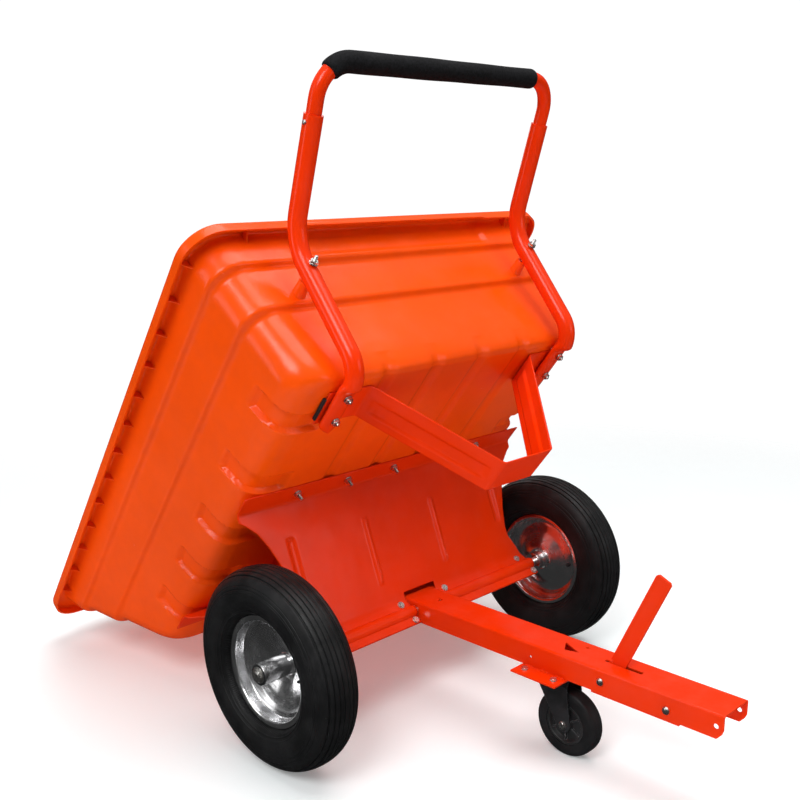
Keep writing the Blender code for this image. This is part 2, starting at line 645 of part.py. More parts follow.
def build_chassis(materials):
    steel, bright = materials["steel"], materials["bright"]
    chassis = empty("chassis_frame", (0.0, AXLE_Y, 0.0))

    axle = [(-AXLE_HALF_LENGTH, AXLE_RADIUS - 0.0015), (-AXLE_HALF_LENGTH + 0.0015, AXLE_RADIUS),
            (AXLE_HALF_LENGTH - 0.0015, AXLE_RADIUS), (AXLE_HALF_LENGTH, AXLE_RADIUS - 0.0015)]
    add_part("axle", [solid_of_revolution(axle, 20, (0.0, 0.0, AXLE_Z), (1, 0, 0))], bright, chassis)

    half, wall = DRAWBAR_HALF_WIDTH, DRAWBAR_WALL
    section = [(-half, DRAWBAR_BOTTOM), (-half, DRAWBAR_TOP - 0.003), (-half + 0.003, DRAWBAR_TOP),
               (half - 0.003, DRAWBAR_TOP), (half, DRAWBAR_TOP - 0.003), (half, DRAWBAR_BOTTOM),
               (half - wall, DRAWBAR_BOTTOM), (half - wall, DRAWBAR_TOP - wall),
               (-half + wall, DRAWBAR_TOP - wall), (-half + wall, DRAWBAR_BOTTOM)]
    drawbar = add_part("drawbar", [prism(section, DRAWBAR_FRONT, DRAWBAR_REAR, "Y")], steel, chassis)
    nose = [(DRAWBAR_FRONT - 0.004, DRAWBAR_BOTTOM - 0.004), (DRAWBAR_FRONT + 0.012, DRAWBAR_BOTTOM - 0.004)]
    nose += [(DRAWBAR_FRONT + 0.012, DRAWBAR_BOTTOM), (DRAWBAR_FRONT + 0.004, DRAWBAR_BOTTOM + 0.003)]
    nose += [(DRAWBAR_FRONT, DRAWBAR_BOTTOM + 0.012), (DRAWBAR_FRONT - 0.004, DRAWBAR_BOTTOM + 0.012)]
    tip_hole = [(-0.016, -0.372), (-0.008, -0.400), (0.013, -0.354)]
    cuts = [
        prism(nose, -0.060, 0.060, "X"),
        cylinder((0, 0, AXLE_Z), (1, 0, 0), AXLE_RADIUS + 0.0007, 0.120, 20),
        cylinder((0, PIVOT_Y, PIVOT_Z), (1, 0, 0), 0.0044, 0.120, 12),
        cylinder((0, CHANNEL_BOLT_Y, PIVOT_Z - 0.006), (1, 0, 0), 0.0044, 0.120, 12),
        cylinder((0, -0.702, PIVOT_Z), (1, 0, 0), 0.0050, 0.120, 14),
        cylinder((0, -0.311, 0.196), (1, 0, 0), 0.0028, 0.120, 10),
        prism(tip_hole, DRAWBAR_TOP - 0.010, DRAWBAR_TOP + 0.010, "Z"),
        cylinder((0.020, -0.400, DRAWBAR_TOP), (0, 0, 1), 0.0035, 0.020, 10),
        cylinder((0.0, -0.036, DRAWBAR_TOP), (0, 0, 1), 0.0055, 0.020, 12),
        box((-0.0044, -0.534, DRAWBAR_TOP - 0.010), (0.0044, -0.454, DRAWBAR_TOP + 0.010)),
    ]
    add_boolean(drawbar, cuts)

    inner = half - wall - GAP
    low, sheet = 0.1705, 0.003
    trough = [(-inner, 0.2120), (-inner, low), (inner, low), (inner, 0.2120), (inner - sheet, 0.2120),
              (inner - sheet, low + sheet), (-inner + sheet, low + sheet), (-inner + sheet, 0.2120)]
    channel = add_part("latch_channel", [prism(trough, CHANNEL_FRONT, CHANNEL_BACK, "Y")], steel, chassis)
    add_boolean(channel, [cylinder((0, PIVOT_Y, PIVOT_Z), (1, 0, 0), 0.0044, 0.120, 12),
                          cylinder((0, CHANNEL_BOLT_Y, PIVOT_Z - 0.006), (1, 0, 0), 0.0044, 0.120, 12)])
    for name, y, z in (("latch_pivot_bolt", PIVOT_Y, PIVOT_Z), ("channel_bolt", CHANNEL_BOLT_Y, PIVOT_Z - 0.006)):
        add_bolt(name, bright, chassis, (-half, y, z), (1, 0, 0), 2.0 * half, head=0.0075, head_height=0.0045,
                 shank=0.0040, nut=0.0070, nut_height=0.0060, tail=0.003, domed=True, segments=10)

    top = DRAWBAR_BOTTOM - GAP
    plate_low = top - 0.0035
    reach = BRACKET_PLATE_HALF
    back, front = SWIVEL_Y + BRACKET_PLATE_LENGTH / 2.0, SWIVEL_Y - BRACKET_PLATE_LENGTH / 2.0
    bracket = add_part("caster_bracket", [box((-reach, front, plate_low), (reach, back, top))], steel, chassis)
    base_top = plate_low - GAP
    base_low = base_top - 0.003
    base = add_part("caster_base_plate", [box((-0.068, SWIVEL_Y - 0.045, base_low), (0.068, SWIVEL_Y + 0.045,
                                                                                      base_top))],
                    materials["dark"], chassis)
    spots = [(x, SWIVEL_Y + y) for x in (-0.058, 0.058) for y in (-0.034, 0.034)]
    add_boolean(bracket, [cylinder((x, y, top), (0, 0, 1), 0.0042, 0.020, 10) for x, y in spots])
    base_cuts = [cylinder((x, y, base_top), (0, 0, 1), 0.0042, 0.020, 10) for x, y in spots]
    base_cuts.append(cylinder((0, SWIVEL_Y, base_top), (0, 0, 1), 0.0070, 0.020, 16))
    add_boolean(base, base_cuts)
    for count, (x, y) in enumerate(spots, 1):
        add_bolt("caster_bolt_%d" % count, bright, chassis, (x, y, top), (0, 0, -1), top - base_low,
                 head=0.0065, head_height=0.0040, shank=0.0034, nut=0.0065, nut_height=0.0050, tail=0.003)
    return base_low


def build_pedal(materials):
    """Flat latch lever on the pivot bolt, leaning forward through the drawbar's slot."""
    frame = empty("latch_frame", (0.0, AXLE_Y + PIVOT_Y, PIVOT_Z))
    half = PEDAL_WIDTH / 2.0
    hook_low, hook_high, hook_depth = 0.0222, 0.0274, 0.0060
    outline = [(half - 0.003, -0.0160), (half, -0.0130), (half, hook_low), (half - hook_depth, hook_low),
               (half - hook_depth, hook_high), (half, hook_high), (half, PEDAL_LENGTH - 0.004),
               (half - 0.004, PEDAL_LENGTH), (-half + 0.004, PEDAL_LENGTH), (-half, PEDAL_LENGTH - 0.004),
               (-half, -0.0130), (-half + 0.003, -0.0160)]
    lean = Matrix.Rotation(PEDAL_LEAN, 3, "X")
    turned = []
    for y, z in outline:
        point = lean @ Vector((0.0, y, z))
        turned.append((point.y, point.z))
    pedal = add_part("latch_pedal", [prism(turned, -PEDAL_THICKNESS / 2.0, PEDAL_THICKNESS / 2.0, "X")],
                     materials["steel"], frame)
    add_boolean(pedal, [cylinder((0, 0, 0), (1, 0, 0), 0.0044, 0.030, 12)])


def build_caster(materials, base_low):
    """Swivel fork with its kingpin, and a rubber-tyred wheel on a through bolt."""
    dark, bright = materials["dark"], materials["bright"]
    swivel = empty("swivel_frame", (0.0, AXLE_Y + SWIVEL_Y, 0.0))
    crown = base_low - 0.0105
    arm, sheet = 0.0225, 0.0028
    path = [(-arm, 0.052), (-arm, crown - 0.012), (-arm + 0.008, crown - sheet / 2.0),
            (arm - 0.008, crown - sheet / 2.0), (arm, crown - 0.012), (arm, 0.052)]
    fork = add_part("caster_fork", [prism(strip_outline(path, sheet), -0.080, 0.050, "Y")], dark, swivel)
    axle_spot = -CASTER_TRAIL
    side_view = [(0.032, crown + 0.010), (0.032, crown - 0.010), (axle_spot + 0.017, CASTER_RADIUS + 0.002),
                 (axle_spot + 0.010, CASTER_RADIUS - 0.012), (axle_spot - 0.010, CASTER_RADIUS - 0.012),
                 (axle_spot - 0.017, CASTER_RADIUS + 0.002), (-0.040, crown - 0.010), (-0.034, crown + 0.010)]
    add_boolean(fork, [prism(side_view, -0.040, 0.040, "X")], "INTERSECT")
    add_boolean(fork, [cylinder((0, axle_spot, CASTER_RADIUS), (1, 0, 0), 0.0046, 0.080, 12),
                       cylinder((0, 0, crown), (0, 0, 1), 0.0070, 0.020, 16)])
    race = [(crown - sheet - 0.0030 - GAP, 0.0095), (crown - sheet - GAP, 0.0110), (crown - sheet - GAP, 0.0064),
            (crown + GAP, 0.0064), (crown + GAP, 0.0170), (crown + 0.0040, 0.0200), (base_low - 0.0020, 0.0200),
            (base_low - GAP, 0.0170), (base_low - GAP, 0.0064), (base_low + 0.0031, 0.0064)]
    add_part("caster_kingpin", [solid_of_revolution(race, 20)], bright, swivel)

    wheel = empty("caster_wheel_frame", (0.0, AXLE_Y + SWIVEL_Y - CASTER_TRAIL, CASTER_RADIUS))
    half = CASTER_WIDTH / 2.0
    tread = [(-half, 0.0430), (-half, 0.0590), (-half + 0.003, 0.0650), (-half + 0.009, CASTER_RADIUS),
             (half - 0.009, CASTER_RADIUS), (half - 0.003, 0.0650), (half, 0.0590), (half, 0.0430)]
    add_part("caster_tyre", [ring_of_revolution(tread, 32)], materials["rubber"], wheel)
    seat = 0.0430 - GAP
    core = [(-half + 0.001, seat), (half - 0.001, seat), (half - 0.001, 0.0370), (half - 0.009, 0.0340),
            (half - 0.009, 0.0140), (half + 0.0015, 0.0110), (half + 0.0015, 0.0046), (-half - 0.0015, 0.0046),
            (-half - 0.0015, 0.0110), (-half + 0.009, 0.0140), (-half + 0.009, 0.0340), (-half + 0.001, 0.0370)]
    add_part("caster_core", [ring_of_revolution(core, 28)], dark, wheel)
    outer = arm + sheet / 2.0
    add_bolt("caster_axle_bolt", bright, swivel, (-outer, axle_spot, CASTER_RADIUS), (1, 0, 0), 2.0 * outer,
             head=0.0075, head_height=0.0050, shank=0.0042, nut=0.0075, nut_height=0.0065, tail=0.003, segments=12)


def main():
    clear_scene()
    materials = {
        "poly": principled("tub_plastic", (1.0, 0.12, 0.01), 0.35),
        "steel": principled("coated_steel", (0.85, 0.05, 0.005), 0.35),
        "bright": principled("plated_steel", (0.75, 0.75, 0.76), 0.25, 1.0),
        "zinc": principled("rim_plate", (0.80, 0.80, 0.82), 0.18, 1.0),
        "rubber": principled("tyre_rubber", (0.015, 0.015, 0.016), 0.65),
        "foam": principled("grip_foam", (0.012, 0.012, 0.013), 0.85),
        "dark": principled("dark_steel", (0.05, 0.05, 0.055), 0.45, 0.6),
    }
    tipping_frame = empty("tipping_frame", (0.0, AXLE_Y, AXLE_Z), (-TIP_ANGLE, 0.0, 0.0))
    build_tipping_assembly(materials, tipping_frame)
    build_wheel("right", -1.0, materials)
    build_wheel("left", 1.0, materials)
    base_low = build_chassis(materials)
    build_pedal(materials)
    build_caster(materials, base_low)


main()
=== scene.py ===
"""Tipping garden cart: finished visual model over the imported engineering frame."""

import json
import logging
import math
from dataclasses import dataclass, field
from enum import Enum
from typing import Sequence

import bmesh
import bpy
import numpy as np
from mathutils import Matrix, Vector

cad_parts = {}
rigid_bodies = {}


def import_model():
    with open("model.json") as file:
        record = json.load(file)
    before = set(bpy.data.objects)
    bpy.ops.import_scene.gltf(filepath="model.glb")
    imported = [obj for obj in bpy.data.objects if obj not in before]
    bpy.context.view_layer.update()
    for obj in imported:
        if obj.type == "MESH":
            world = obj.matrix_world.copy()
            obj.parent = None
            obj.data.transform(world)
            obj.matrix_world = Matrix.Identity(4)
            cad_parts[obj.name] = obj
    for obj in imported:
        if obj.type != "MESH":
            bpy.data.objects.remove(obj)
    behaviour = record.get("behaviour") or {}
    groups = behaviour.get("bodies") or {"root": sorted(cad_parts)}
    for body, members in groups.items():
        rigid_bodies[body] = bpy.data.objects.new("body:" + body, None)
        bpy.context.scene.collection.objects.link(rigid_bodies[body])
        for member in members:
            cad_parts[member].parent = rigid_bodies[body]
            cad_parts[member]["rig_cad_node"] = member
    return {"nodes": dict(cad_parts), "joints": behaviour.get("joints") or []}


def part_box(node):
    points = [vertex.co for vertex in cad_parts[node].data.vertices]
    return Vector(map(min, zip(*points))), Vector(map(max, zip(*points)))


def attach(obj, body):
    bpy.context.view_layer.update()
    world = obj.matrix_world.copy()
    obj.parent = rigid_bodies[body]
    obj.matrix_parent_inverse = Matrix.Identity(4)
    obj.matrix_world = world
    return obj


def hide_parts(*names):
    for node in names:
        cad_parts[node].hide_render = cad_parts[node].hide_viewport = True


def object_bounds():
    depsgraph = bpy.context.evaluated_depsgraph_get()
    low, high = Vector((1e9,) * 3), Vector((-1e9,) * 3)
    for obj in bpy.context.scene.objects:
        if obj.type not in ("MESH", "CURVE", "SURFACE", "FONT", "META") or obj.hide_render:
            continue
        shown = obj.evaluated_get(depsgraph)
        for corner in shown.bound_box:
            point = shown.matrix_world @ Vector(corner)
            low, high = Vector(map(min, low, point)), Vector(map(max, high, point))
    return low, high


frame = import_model()
CAD_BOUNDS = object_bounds()
LOG = logging.getLogger("garden_cart")
GAP = 0.0003

Socket = bpy.types.NodeSocket
Shape = tuple[np.ndarray, list[tuple[int, ...]]]


class Body(Enum):
    """The moving groups of the cart."""

    CHASSIS = "chassis"
    TUB = "tipping_tub"
    WHEEL_RIGHT = "wheel_right"
    WHEEL_LEFT = "wheel_left"
    SWIVEL = "caster_swivel"
    CASTER = "caster_wheel"
    LATCH = "latch_lever"


class HeadStyle(Enum):
    """Shapes of bolt head."""

    DOMED = "domed"
    HEXAGON = "hexagon"


# ---------------------------------------------------------------- shader tools


class Graph:
    """A node tree with short calls for placing and joining nodes."""

    def __init__(self, tree: bpy.types.NodeTree) -> None:
        """Keep the tree that the nodes go in."""
        self.tree = tree

    def add(self, kind: str, inputs: dict | None = None, **settings: object) -> bpy.types.Node:
        """Place a node.

        Args:
            kind: Blender's name for the node.
            inputs: socket name or number to a value, or to the output that feeds it.
            settings: properties of the node.

        Returns:
            The new node.
        """
        node = self.tree.nodes.new(kind)
        for name, value in settings.items():
            setattr(node, name, value)
        for name, value in (inputs or {}).items():
            if isinstance(value, Socket):
                self.tree.links.new(value, node.inputs[name])
            else:
                node.inputs[name].default_value = value
        return node

    def math(self, operation: str, first: object, second: object = 0.0) -> Socket:
        """One Math node; returns its output."""
        return self.add("ShaderNodeMath", {0: first, 1: second}, operation=operation).outputs[0]

    def scaled(self, vector: Socket, scale: tuple[float, float, float]) -> Socket:
        """The vector multiplied axis by axis."""
        node = self.add("ShaderNodeVectorMath", {0: vector, 1: scale}, operation="MULTIPLY")
        return node.outputs[0]

    def noise(self, vector: Socket, scale: object, detail: float = 2.0, roughness: float = 0.5) -> Socket:
        """Value of a noise texture."""
        inputs = {"Vector": vector, "Scale": scale, "Detail": detail, "Roughness": roughness}
        return self.add("ShaderNodeTexNoise", inputs).outputs[0]

    def spread(self, value: Socket, low: object, high: object, to_low: object = 0.0,
               to_high: object = 1.0) -> Socket:
        """Map a range of the value smoothly onto another range.

        Args:
            value: what is mapped.
            low: value that becomes to_low.
            high: value that becomes to_high.
            to_low: result at the low end.
            to_high: result at the high end.

        Returns:
            The mapped value.
        """
        inputs = {0: value, 1: low, 2: high, 3: to_low, 4: to_high}
        return self.add("ShaderNodeMapRange", inputs, interpolation_type="SMOOTHSTEP").outputs[0]

    def blend(self, amount: object, first: object, second: object, mode: str = "MIX") -> Socket:
        """Mix of two colours."""
        node = self.add("ShaderNodeMix", {0: amount, 6: first, 7: second}, data_type="RGBA", blend_type=mode)
        return node.outputs[2]


def new_group(name: str, inputs: dict[str, tuple[str, object]], outputs: dict[str, str]) -> tuple[Graph, dict, dict]:
    """Start a shader node group.

    Args:
        name: name of the group.
        inputs: socket name to its kind (Float or Vector) and its value when nothing feeds it.
        outputs: socket name to its kind.

    Returns:
        The graph, its input sockets by name and its output sockets by name.
    """
    tree = bpy.data.node_groups.new(name, "ShaderNodeTree")
    for label, (kind, value) in inputs.items():
        socket = tree.interface.new_socket(name=label, in_out="INPUT", socket_type="NodeSocket" + kind)
        if value is not None:
            socket.default_value = value
    for label, kind in outputs.items():
        tree.interface.new_socket(name=label, in_out="OUTPUT", socket_type="NodeSocket" + kind)
    graph = Graph(tree)
    source = tree.nodes.new("NodeGroupInput")
    target = tree.nodes.new("NodeGroupOutput")
    return graph, {label: source.outputs[label] for label in inputs}, {label: target.inputs[label] for label in outputs}


class Effects:
    """Shader node groups that several finishes share, each built once."""

    def __init__(self) -> None:
        """Build every group."""
        self.grain = self.build_grain()
        self.mottle = self.build_mottle()
        self.edge_wear = self.build_edge_wear()
        self.dust = self.build_dust()
        self.scratches = self.build_scratches()

    @staticmethod
    def build_grain() -> bpy.types.NodeTree:
        """Fine surface texture: a height made of pebble and of finer grit."""
        graph, source, target = new_group(
            "surface_grain",
            {"Vector": ("Vector", None), "Pebble Scale": ("Float", 400.0), "Grit Scale": ("Float", 1500.0),
             "Grit Share": ("Float", 0.3)},
            {"Height": "Float"})
        pebble = graph.noise(source["Vector"], source["Pebble Scale"], 1.0)
        grit = graph.noise(source["Vector"], source["Grit Scale"], 2.0, 0.7)
        height = graph.math("ADD", pebble, graph.math("MULTIPLY", grit, source["Grit Share"]))
        graph.tree.links.new(height, target["Height"])
        return graph.tree

    @staticmethod
    def build_mottle() -> bpy.types.NodeTree:
        """Slow variation over a surface, 0 to 1, at two sizes."""
        graph, source, target = new_group(
            "slow_mottle",
            {"Vector": ("Vector", None), "Broad Scale": ("Float", 3.0), "Small Scale": ("Float", 30.0)},
            {"Broad": "Float", "Small": "Float"})
        broad = graph.spread(graph.noise(source["Vector"], source["Broad Scale"], 3.0, 0.55), 0.3, 0.7)
        small = graph.spread(graph.noise(source["Vector"], source["Small Scale"], 4.0, 0.6), 0.3, 0.7)
        graph.tree.links.new(broad, target["Broad"])
        graph.tree.links.new(small, target["Small"])
        return graph.tree

    @staticmethod
    def build_edge_wear() -> bpy.types.NodeTree:
        """Mask that is 1 on rounded edges, broken up by noise; it lightens edges, and on the powder coat this is a
        painted edge highlight.
        """
        graph, source, target = new_group(
            "edge_wear",
            {"Vector": ("Vector", None), "Breakup Scale": ("Float", 60.0), "Amount": ("Float", 0.5)},
            {"Mask": "Float"})
        rounded = graph.add("ShaderNodeBevel", {"Radius": 0.0016}, samples=4).outputs[0]
        plain = graph.add("ShaderNodeNewGeometry").outputs["Normal"]
        alike = graph.add("ShaderNodeVectorMath", {0: rounded, 1: plain}, operation="DOT_PRODUCT").outputs["Value"]
        edge = graph.spread(alike, 0.995, 0.90)
        breakup = graph.spread(graph.noise(source["Vector"], source["Breakup Scale"], 4.0, 0.65), 0.42, 0.66)
        mask = graph.math("MULTIPLY", graph.math("MULTIPLY", edge, breakup), source["Amount"])
        graph.tree.links.new(mask, target["Mask"])
        return graph.tree

    @staticmethod
    def build_dust() -> bpy.types.NodeTree:
        """Mask of loose dust, thicker on what faces up."""
        graph, source, target = new_group(
            "settled_dust",
            {"Vector": ("Vector", None), "Patch Scale": ("Float", 14.0), "Amount": ("Float", 0.3)},
            {"Mask": "Float"})
        normal = graph.add("ShaderNodeNewGeometry").outputs["Normal"]
        upward = graph.add("ShaderNodeSeparateXYZ", {0: normal}).outputs["Z"]
        settled = graph.spread(upward, -0.3, 1.0, 0.25, 1.0)
        patches = graph.spread(graph.noise(source["Vector"], source["Patch Scale"], 5.0, 0.65), 0.38, 0.78)
        mask = graph.math("MULTIPLY", graph.math("MULTIPLY", settled, patches), source["Amount"])
        graph.tree.links.new(mask, target["Mask"])
        return graph.tree

    @staticmethod
    def build_scratches() -> bpy.types.NodeTree:
        """Mask of thin rubbed marks that run along the first axis of the vector."""
        graph, source, target = new_group(
            "rubbed_marks",
            {"Vector": ("Vector", None), "Scale": ("Float", 40.0), "Amount": ("Float", 0.5)},
            {"Mask": "Float"})
        drawn = graph.scaled(source["Vector"], (0.07, 1.0, 1.0))
        lines = graph.noise(drawn, source["Scale"], 6.0, 0.75)
        where = graph.spread(graph.noise(source["Vector"], 9.0, 2.0), 0.45, 0.70)
        kept = graph.math("MULTIPLY", where, source["Amount"])
        mask = graph.math("MULTIPLY", graph.spread(lines, 0.60, 0.72), kept)
        graph.tree.links.new(mask, target["Mask"])
        return graph.tree


# ---------------------------------------------------------------- finishes


@dataclass(frozen=True)
class Finish:
    """A material of the cart: base colour, roughness and metalness, dressed by dress()."""

    name: str
    slot: str
    colour: tuple[float, float, float]
    roughness: float
    metallic: float = 0.0

    def build(self, effects: Effects) -> bpy.types.Material:
        """Make the material.

        Args:
            effects: the shared shader groups.

        Returns:
            The new material.
        """
        material = bpy.data.materials.new(self.name)
        material.use_nodes = True
        material.diffuse_color = (*self.colour, 1.0)
        graph = Graph(material.node_tree)
        shader = material.node_tree.nodes["Principled BSDF"]
        shader.inputs["Base Color"].default_value = (*self.colour, 1.0)
        shader.inputs["Roughness"].default_value = self.roughness
        shader.inputs["Metallic"].default_value = self.metallic
        place = graph.add("ShaderNodeTexCoord")
        self.dress(graph, shader, place, effects)
        return material

    def dress(self, graph: Graph, shader: bpy.types.Node, place: bpy.types.Node, effects: Effects) -> None:
        """Add the finish's own detail.

        Args:
            graph: the material's node tree.
            shader: its Principled shader.
            place: its Texture Coordinate node.
            effects: the shared shader groups.
        """
        raise NotImplementedError

    def tone(self, factor: float) -> tuple[float, float, float, float]:
        """The base colour made lighter or darker."""
        red, green, blue = (min(1.0, channel * factor) for channel in self.colour)
        return red, green, blue, 1.0

    @staticmethod
    def group(graph: Graph, tree: bpy.types.NodeTree, inputs: dict) -> bpy.types.Node:
        """Place a shared group with its own values."""
        node = graph.tree.nodes.new("ShaderNodeGroup")
        node.node_tree = tree
        for name, value in inputs.items():
            if isinstance(value, Socket):
                graph.tree.links.new(value, node.inputs[name])
            else:
                node.inputs[name].default_value = value
        return node

    @staticmethod
    def join(graph: Graph, shader: bpy.types.Node, **feeds: Socket) -> None:
        """Feed the shader's sockets; an underscore in a keyword stands for a space."""
        for name, value in feeds.items():
            graph.tree.links.new(value, shader.inputs[name.replace("_", " ")])

    @staticmethod
    def bump(graph: Graph, height: Socket, strength: float, distance: float, below: Socket | None = None) -> Socket:
        """A Bump node's normal.

        Args:
            graph: the material's node tree.
            height: what raises the surface.
            strength: how much of the bump shows.
            distance: its depth in metres.
            below: the normal of a bump under this one.

        Returns:
            The normal.
        """
        inputs = {"Height": height, "Strength": strength, "Distance": distance}
        if below is not None:
            inputs["Normal"] = below
        return graph.add("ShaderNodeBump", inputs).outputs[0]


@dataclass(frozen=True)
class MouldedPlastic(Finish):
    """Satin polyethylene with orange-peel texture, scuffs and faint flow marks."""

    def dress(self, graph: Graph, shader: bpy.types.Node, place: bpy.types.Node, effects: Effects) -> None:
        """Add the moulded plastic's detail."""
        spot = place.outputs["Object"]
        mottle = self.group(graph, effects.mottle, {"Vector": spot, "Broad Scale": 2.6, "Small Scale": 45.0})
        base = graph.blend(mottle.outputs["Broad"], self.tone(0.90), self.tone(1.05))
        base = graph.blend(graph.math("MULTIPLY", mottle.outputs["Small"], 0.10), base, self.tone(0.70))
        marks = self.group(graph, effects.scratches, {"Vector": spot, "Scale": 70.0, "Amount": 0.05}).outputs[0]
        base = graph.blend(marks, base, (1.0, 0.20, 0.05, 1.0))
        dirt = graph.noise(spot, 170.0, 3.0, 0.6)
        where = graph.spread(graph.noise(spot, 5.0, 2.0), 0.56, 0.72)
        specks = graph.math("MULTIPLY", graph.spread(dirt, 0.70, 0.78), where)
        base = graph.blend(graph.math("MULTIPLY", specks, 0.08), base, (0.22, 0.03, 0.008, 1.0))
        dust = self.group(graph, effects.dust, {"Vector": spot, "Patch Scale": 10.0, "Amount": 0.03}).outputs[0]
        base = graph.blend(dust, base, (0.9, 0.45, 0.30, 1.0))
        rough = graph.spread(mottle.outputs["Small"], 0.0, 1.0, self.roughness - 0.03, self.roughness + 0.05)
        rough = graph.math("ADD", rough, graph.math("MULTIPLY", marks, 0.30))
        grain = self.group(graph, effects.grain, {"Vector": spot, "Pebble Scale": 260.0, "Grit Scale": 1500.0})
        wave = self.bump(graph, graph.noise(spot, 11.0, 1.5), 0.35, 0.0040)
        normal = self.bump(graph, grain.outputs["Height"], 0.16, 0.0006, wave)
        self.join(graph, shader, Base_Color=base, Roughness=rough, Normal=normal)
        shader.inputs["Specular IOR Level"].default_value = 0.26


@dataclass(frozen=True)
class PowderCoat(Finish):
    """Glossy powder coat on steel, with orange peel and a painted highlight: lighter orange along the edges."""

    def dress(self, graph: Graph, shader: bpy.types.Node, place: bpy.types.Node, effects: Effects) -> None:
        """Add the powder coat's detail."""
        spot = place.outputs["Object"]
        mottle = self.group(graph, effects.mottle, {"Vector": spot, "Broad Scale": 4.0, "Small Scale": 60.0})
        base = graph.blend(mottle.outputs["Broad"], self.tone(0.93), self.tone(1.05))
        # painted highlight: the edge mask lightens the coat to bright orange where light catches the rounded edges
        edge_light = self.group(graph, effects.edge_wear, {"Vector": spot, "Breakup Scale": 90.0, "Amount": 0.45})
        base = graph.blend(edge_light.outputs[0], base, (1.0, 0.12, 0.020, 1.0))
        dust = self.group(graph, effects.dust, {"Vector": spot, "Patch Scale": 18.0, "Amount": 0.035}).outputs[0]
        base = graph.blend(dust, base, (0.85, 0.40, 0.30, 1.0))
        marks = self.group(graph, effects.scratches, {"Vector": spot, "Scale": 90.0, "Amount": 0.05}).outputs[0]
        rough = graph.spread(mottle.outputs["Small"], 0.0, 1.0, self.roughness - 0.03, self.roughness + 0.05)
        rough = graph.math("ADD", rough, graph.math("MULTIPLY", graph.math("ADD", marks, dust), 0.25))
        grain = self.group(graph, effects.grain, {"Vector": spot, "Pebble Scale": 330.0, "Grit Scale": 1200.0,
                                                  "Grit Share": 0.12})
        wave = self.bump(graph, graph.noise(spot, 22.0, 1.0), 0.25, 0.0020)
        normal = self.bump(graph, grain.outputs["Height"], 0.14, 0.0005, wave)
        self.join(graph, shader, Base_Color=base, Roughness=rough, Normal=normal)
        shader.inputs["Specular IOR Level"].default_value = 0.22


@dataclass(frozen=True)
class PlatedSteel(Finish):
    """Bright zinc-plated steel for fasteners, with fine marks and small dull patches."""

    def dress(self, graph: Graph, shader: bpy.types.Node, place: bpy.types.Node, effects: Effects) -> None:
        """Add the plating's detail."""
        spot = place.outputs["Object"]
        mottle = self.group(graph, effects.mottle, {"Vector": spot, "Broad Scale": 40.0, "Small Scale": 420.0})
        base = graph.blend(mottle.outputs["Broad"], self.tone(0.80), self.tone(1.06))
        base = graph.blend(graph.math("MULTIPLY", mottle.outputs["Small"], 0.18), base, (0.60, 0.56, 0.46, 1.0))
        rough = graph.spread(mottle.outputs["Small"], 0.0, 1.0, self.roughness - 0.06, self.roughness + 0.12)
        grain = self.group(graph, effects.grain, {"Vector": spot, "Pebble Scale": 900.0, "Grit Scale": 3000.0})
        normal = self.bump(graph, grain.outputs["Height"], 0.20, 0.0003)
        self.join(graph, shader, Base_Color=base, Roughness=rough, Normal=normal)


@dataclass(frozen=True)
class SpunRim(Finish):
    """Bright pressed rim: fine rings left by spinning, mottled zinc and a little haze."""

    def dress(self, graph: Graph, shader: bpy.types.Node, place: bpy.types.Node, effects: Effects) -> None:
        """Add the rim's detail. The mesh's UV runs round the wheel in U and across the section in V."""
        spot, ring = place.outputs["Object"], place.outputs["UV"]
        mottle = self.group(graph, effects.mottle, {"Vector": spot, "Broad Scale": 14.0, "Small Scale": 130.0})
        base = graph.blend(mottle.outputs["Broad"], self.tone(0.84), self.tone(1.05))
        base = graph.blend(graph.math("MULTIPLY", mottle.outputs["Small"], 0.16), base, (0.52, 0.51, 0.50, 1.0))
        rings = graph.noise(graph.scaled(ring, (1.5, 260.0, 1.0)), 1.0, 4.0, 0.7)
        rough = graph.spread(mottle.outputs["Broad"], 0.0, 1.0, self.roughness - 0.05, self.roughness + 0.07)
        rough = graph.math("ADD", rough, graph.math("MULTIPLY", rings, 0.08))
        dent = self.bump(graph, graph.noise(spot, 34.0, 2.0), 0.35, 0.0022)
        normal = self.bump(graph, rings, 0.12, 0.0003, dent)
        self.join(graph, shader, Base_Color=base, Roughness=rough, Normal=normal)


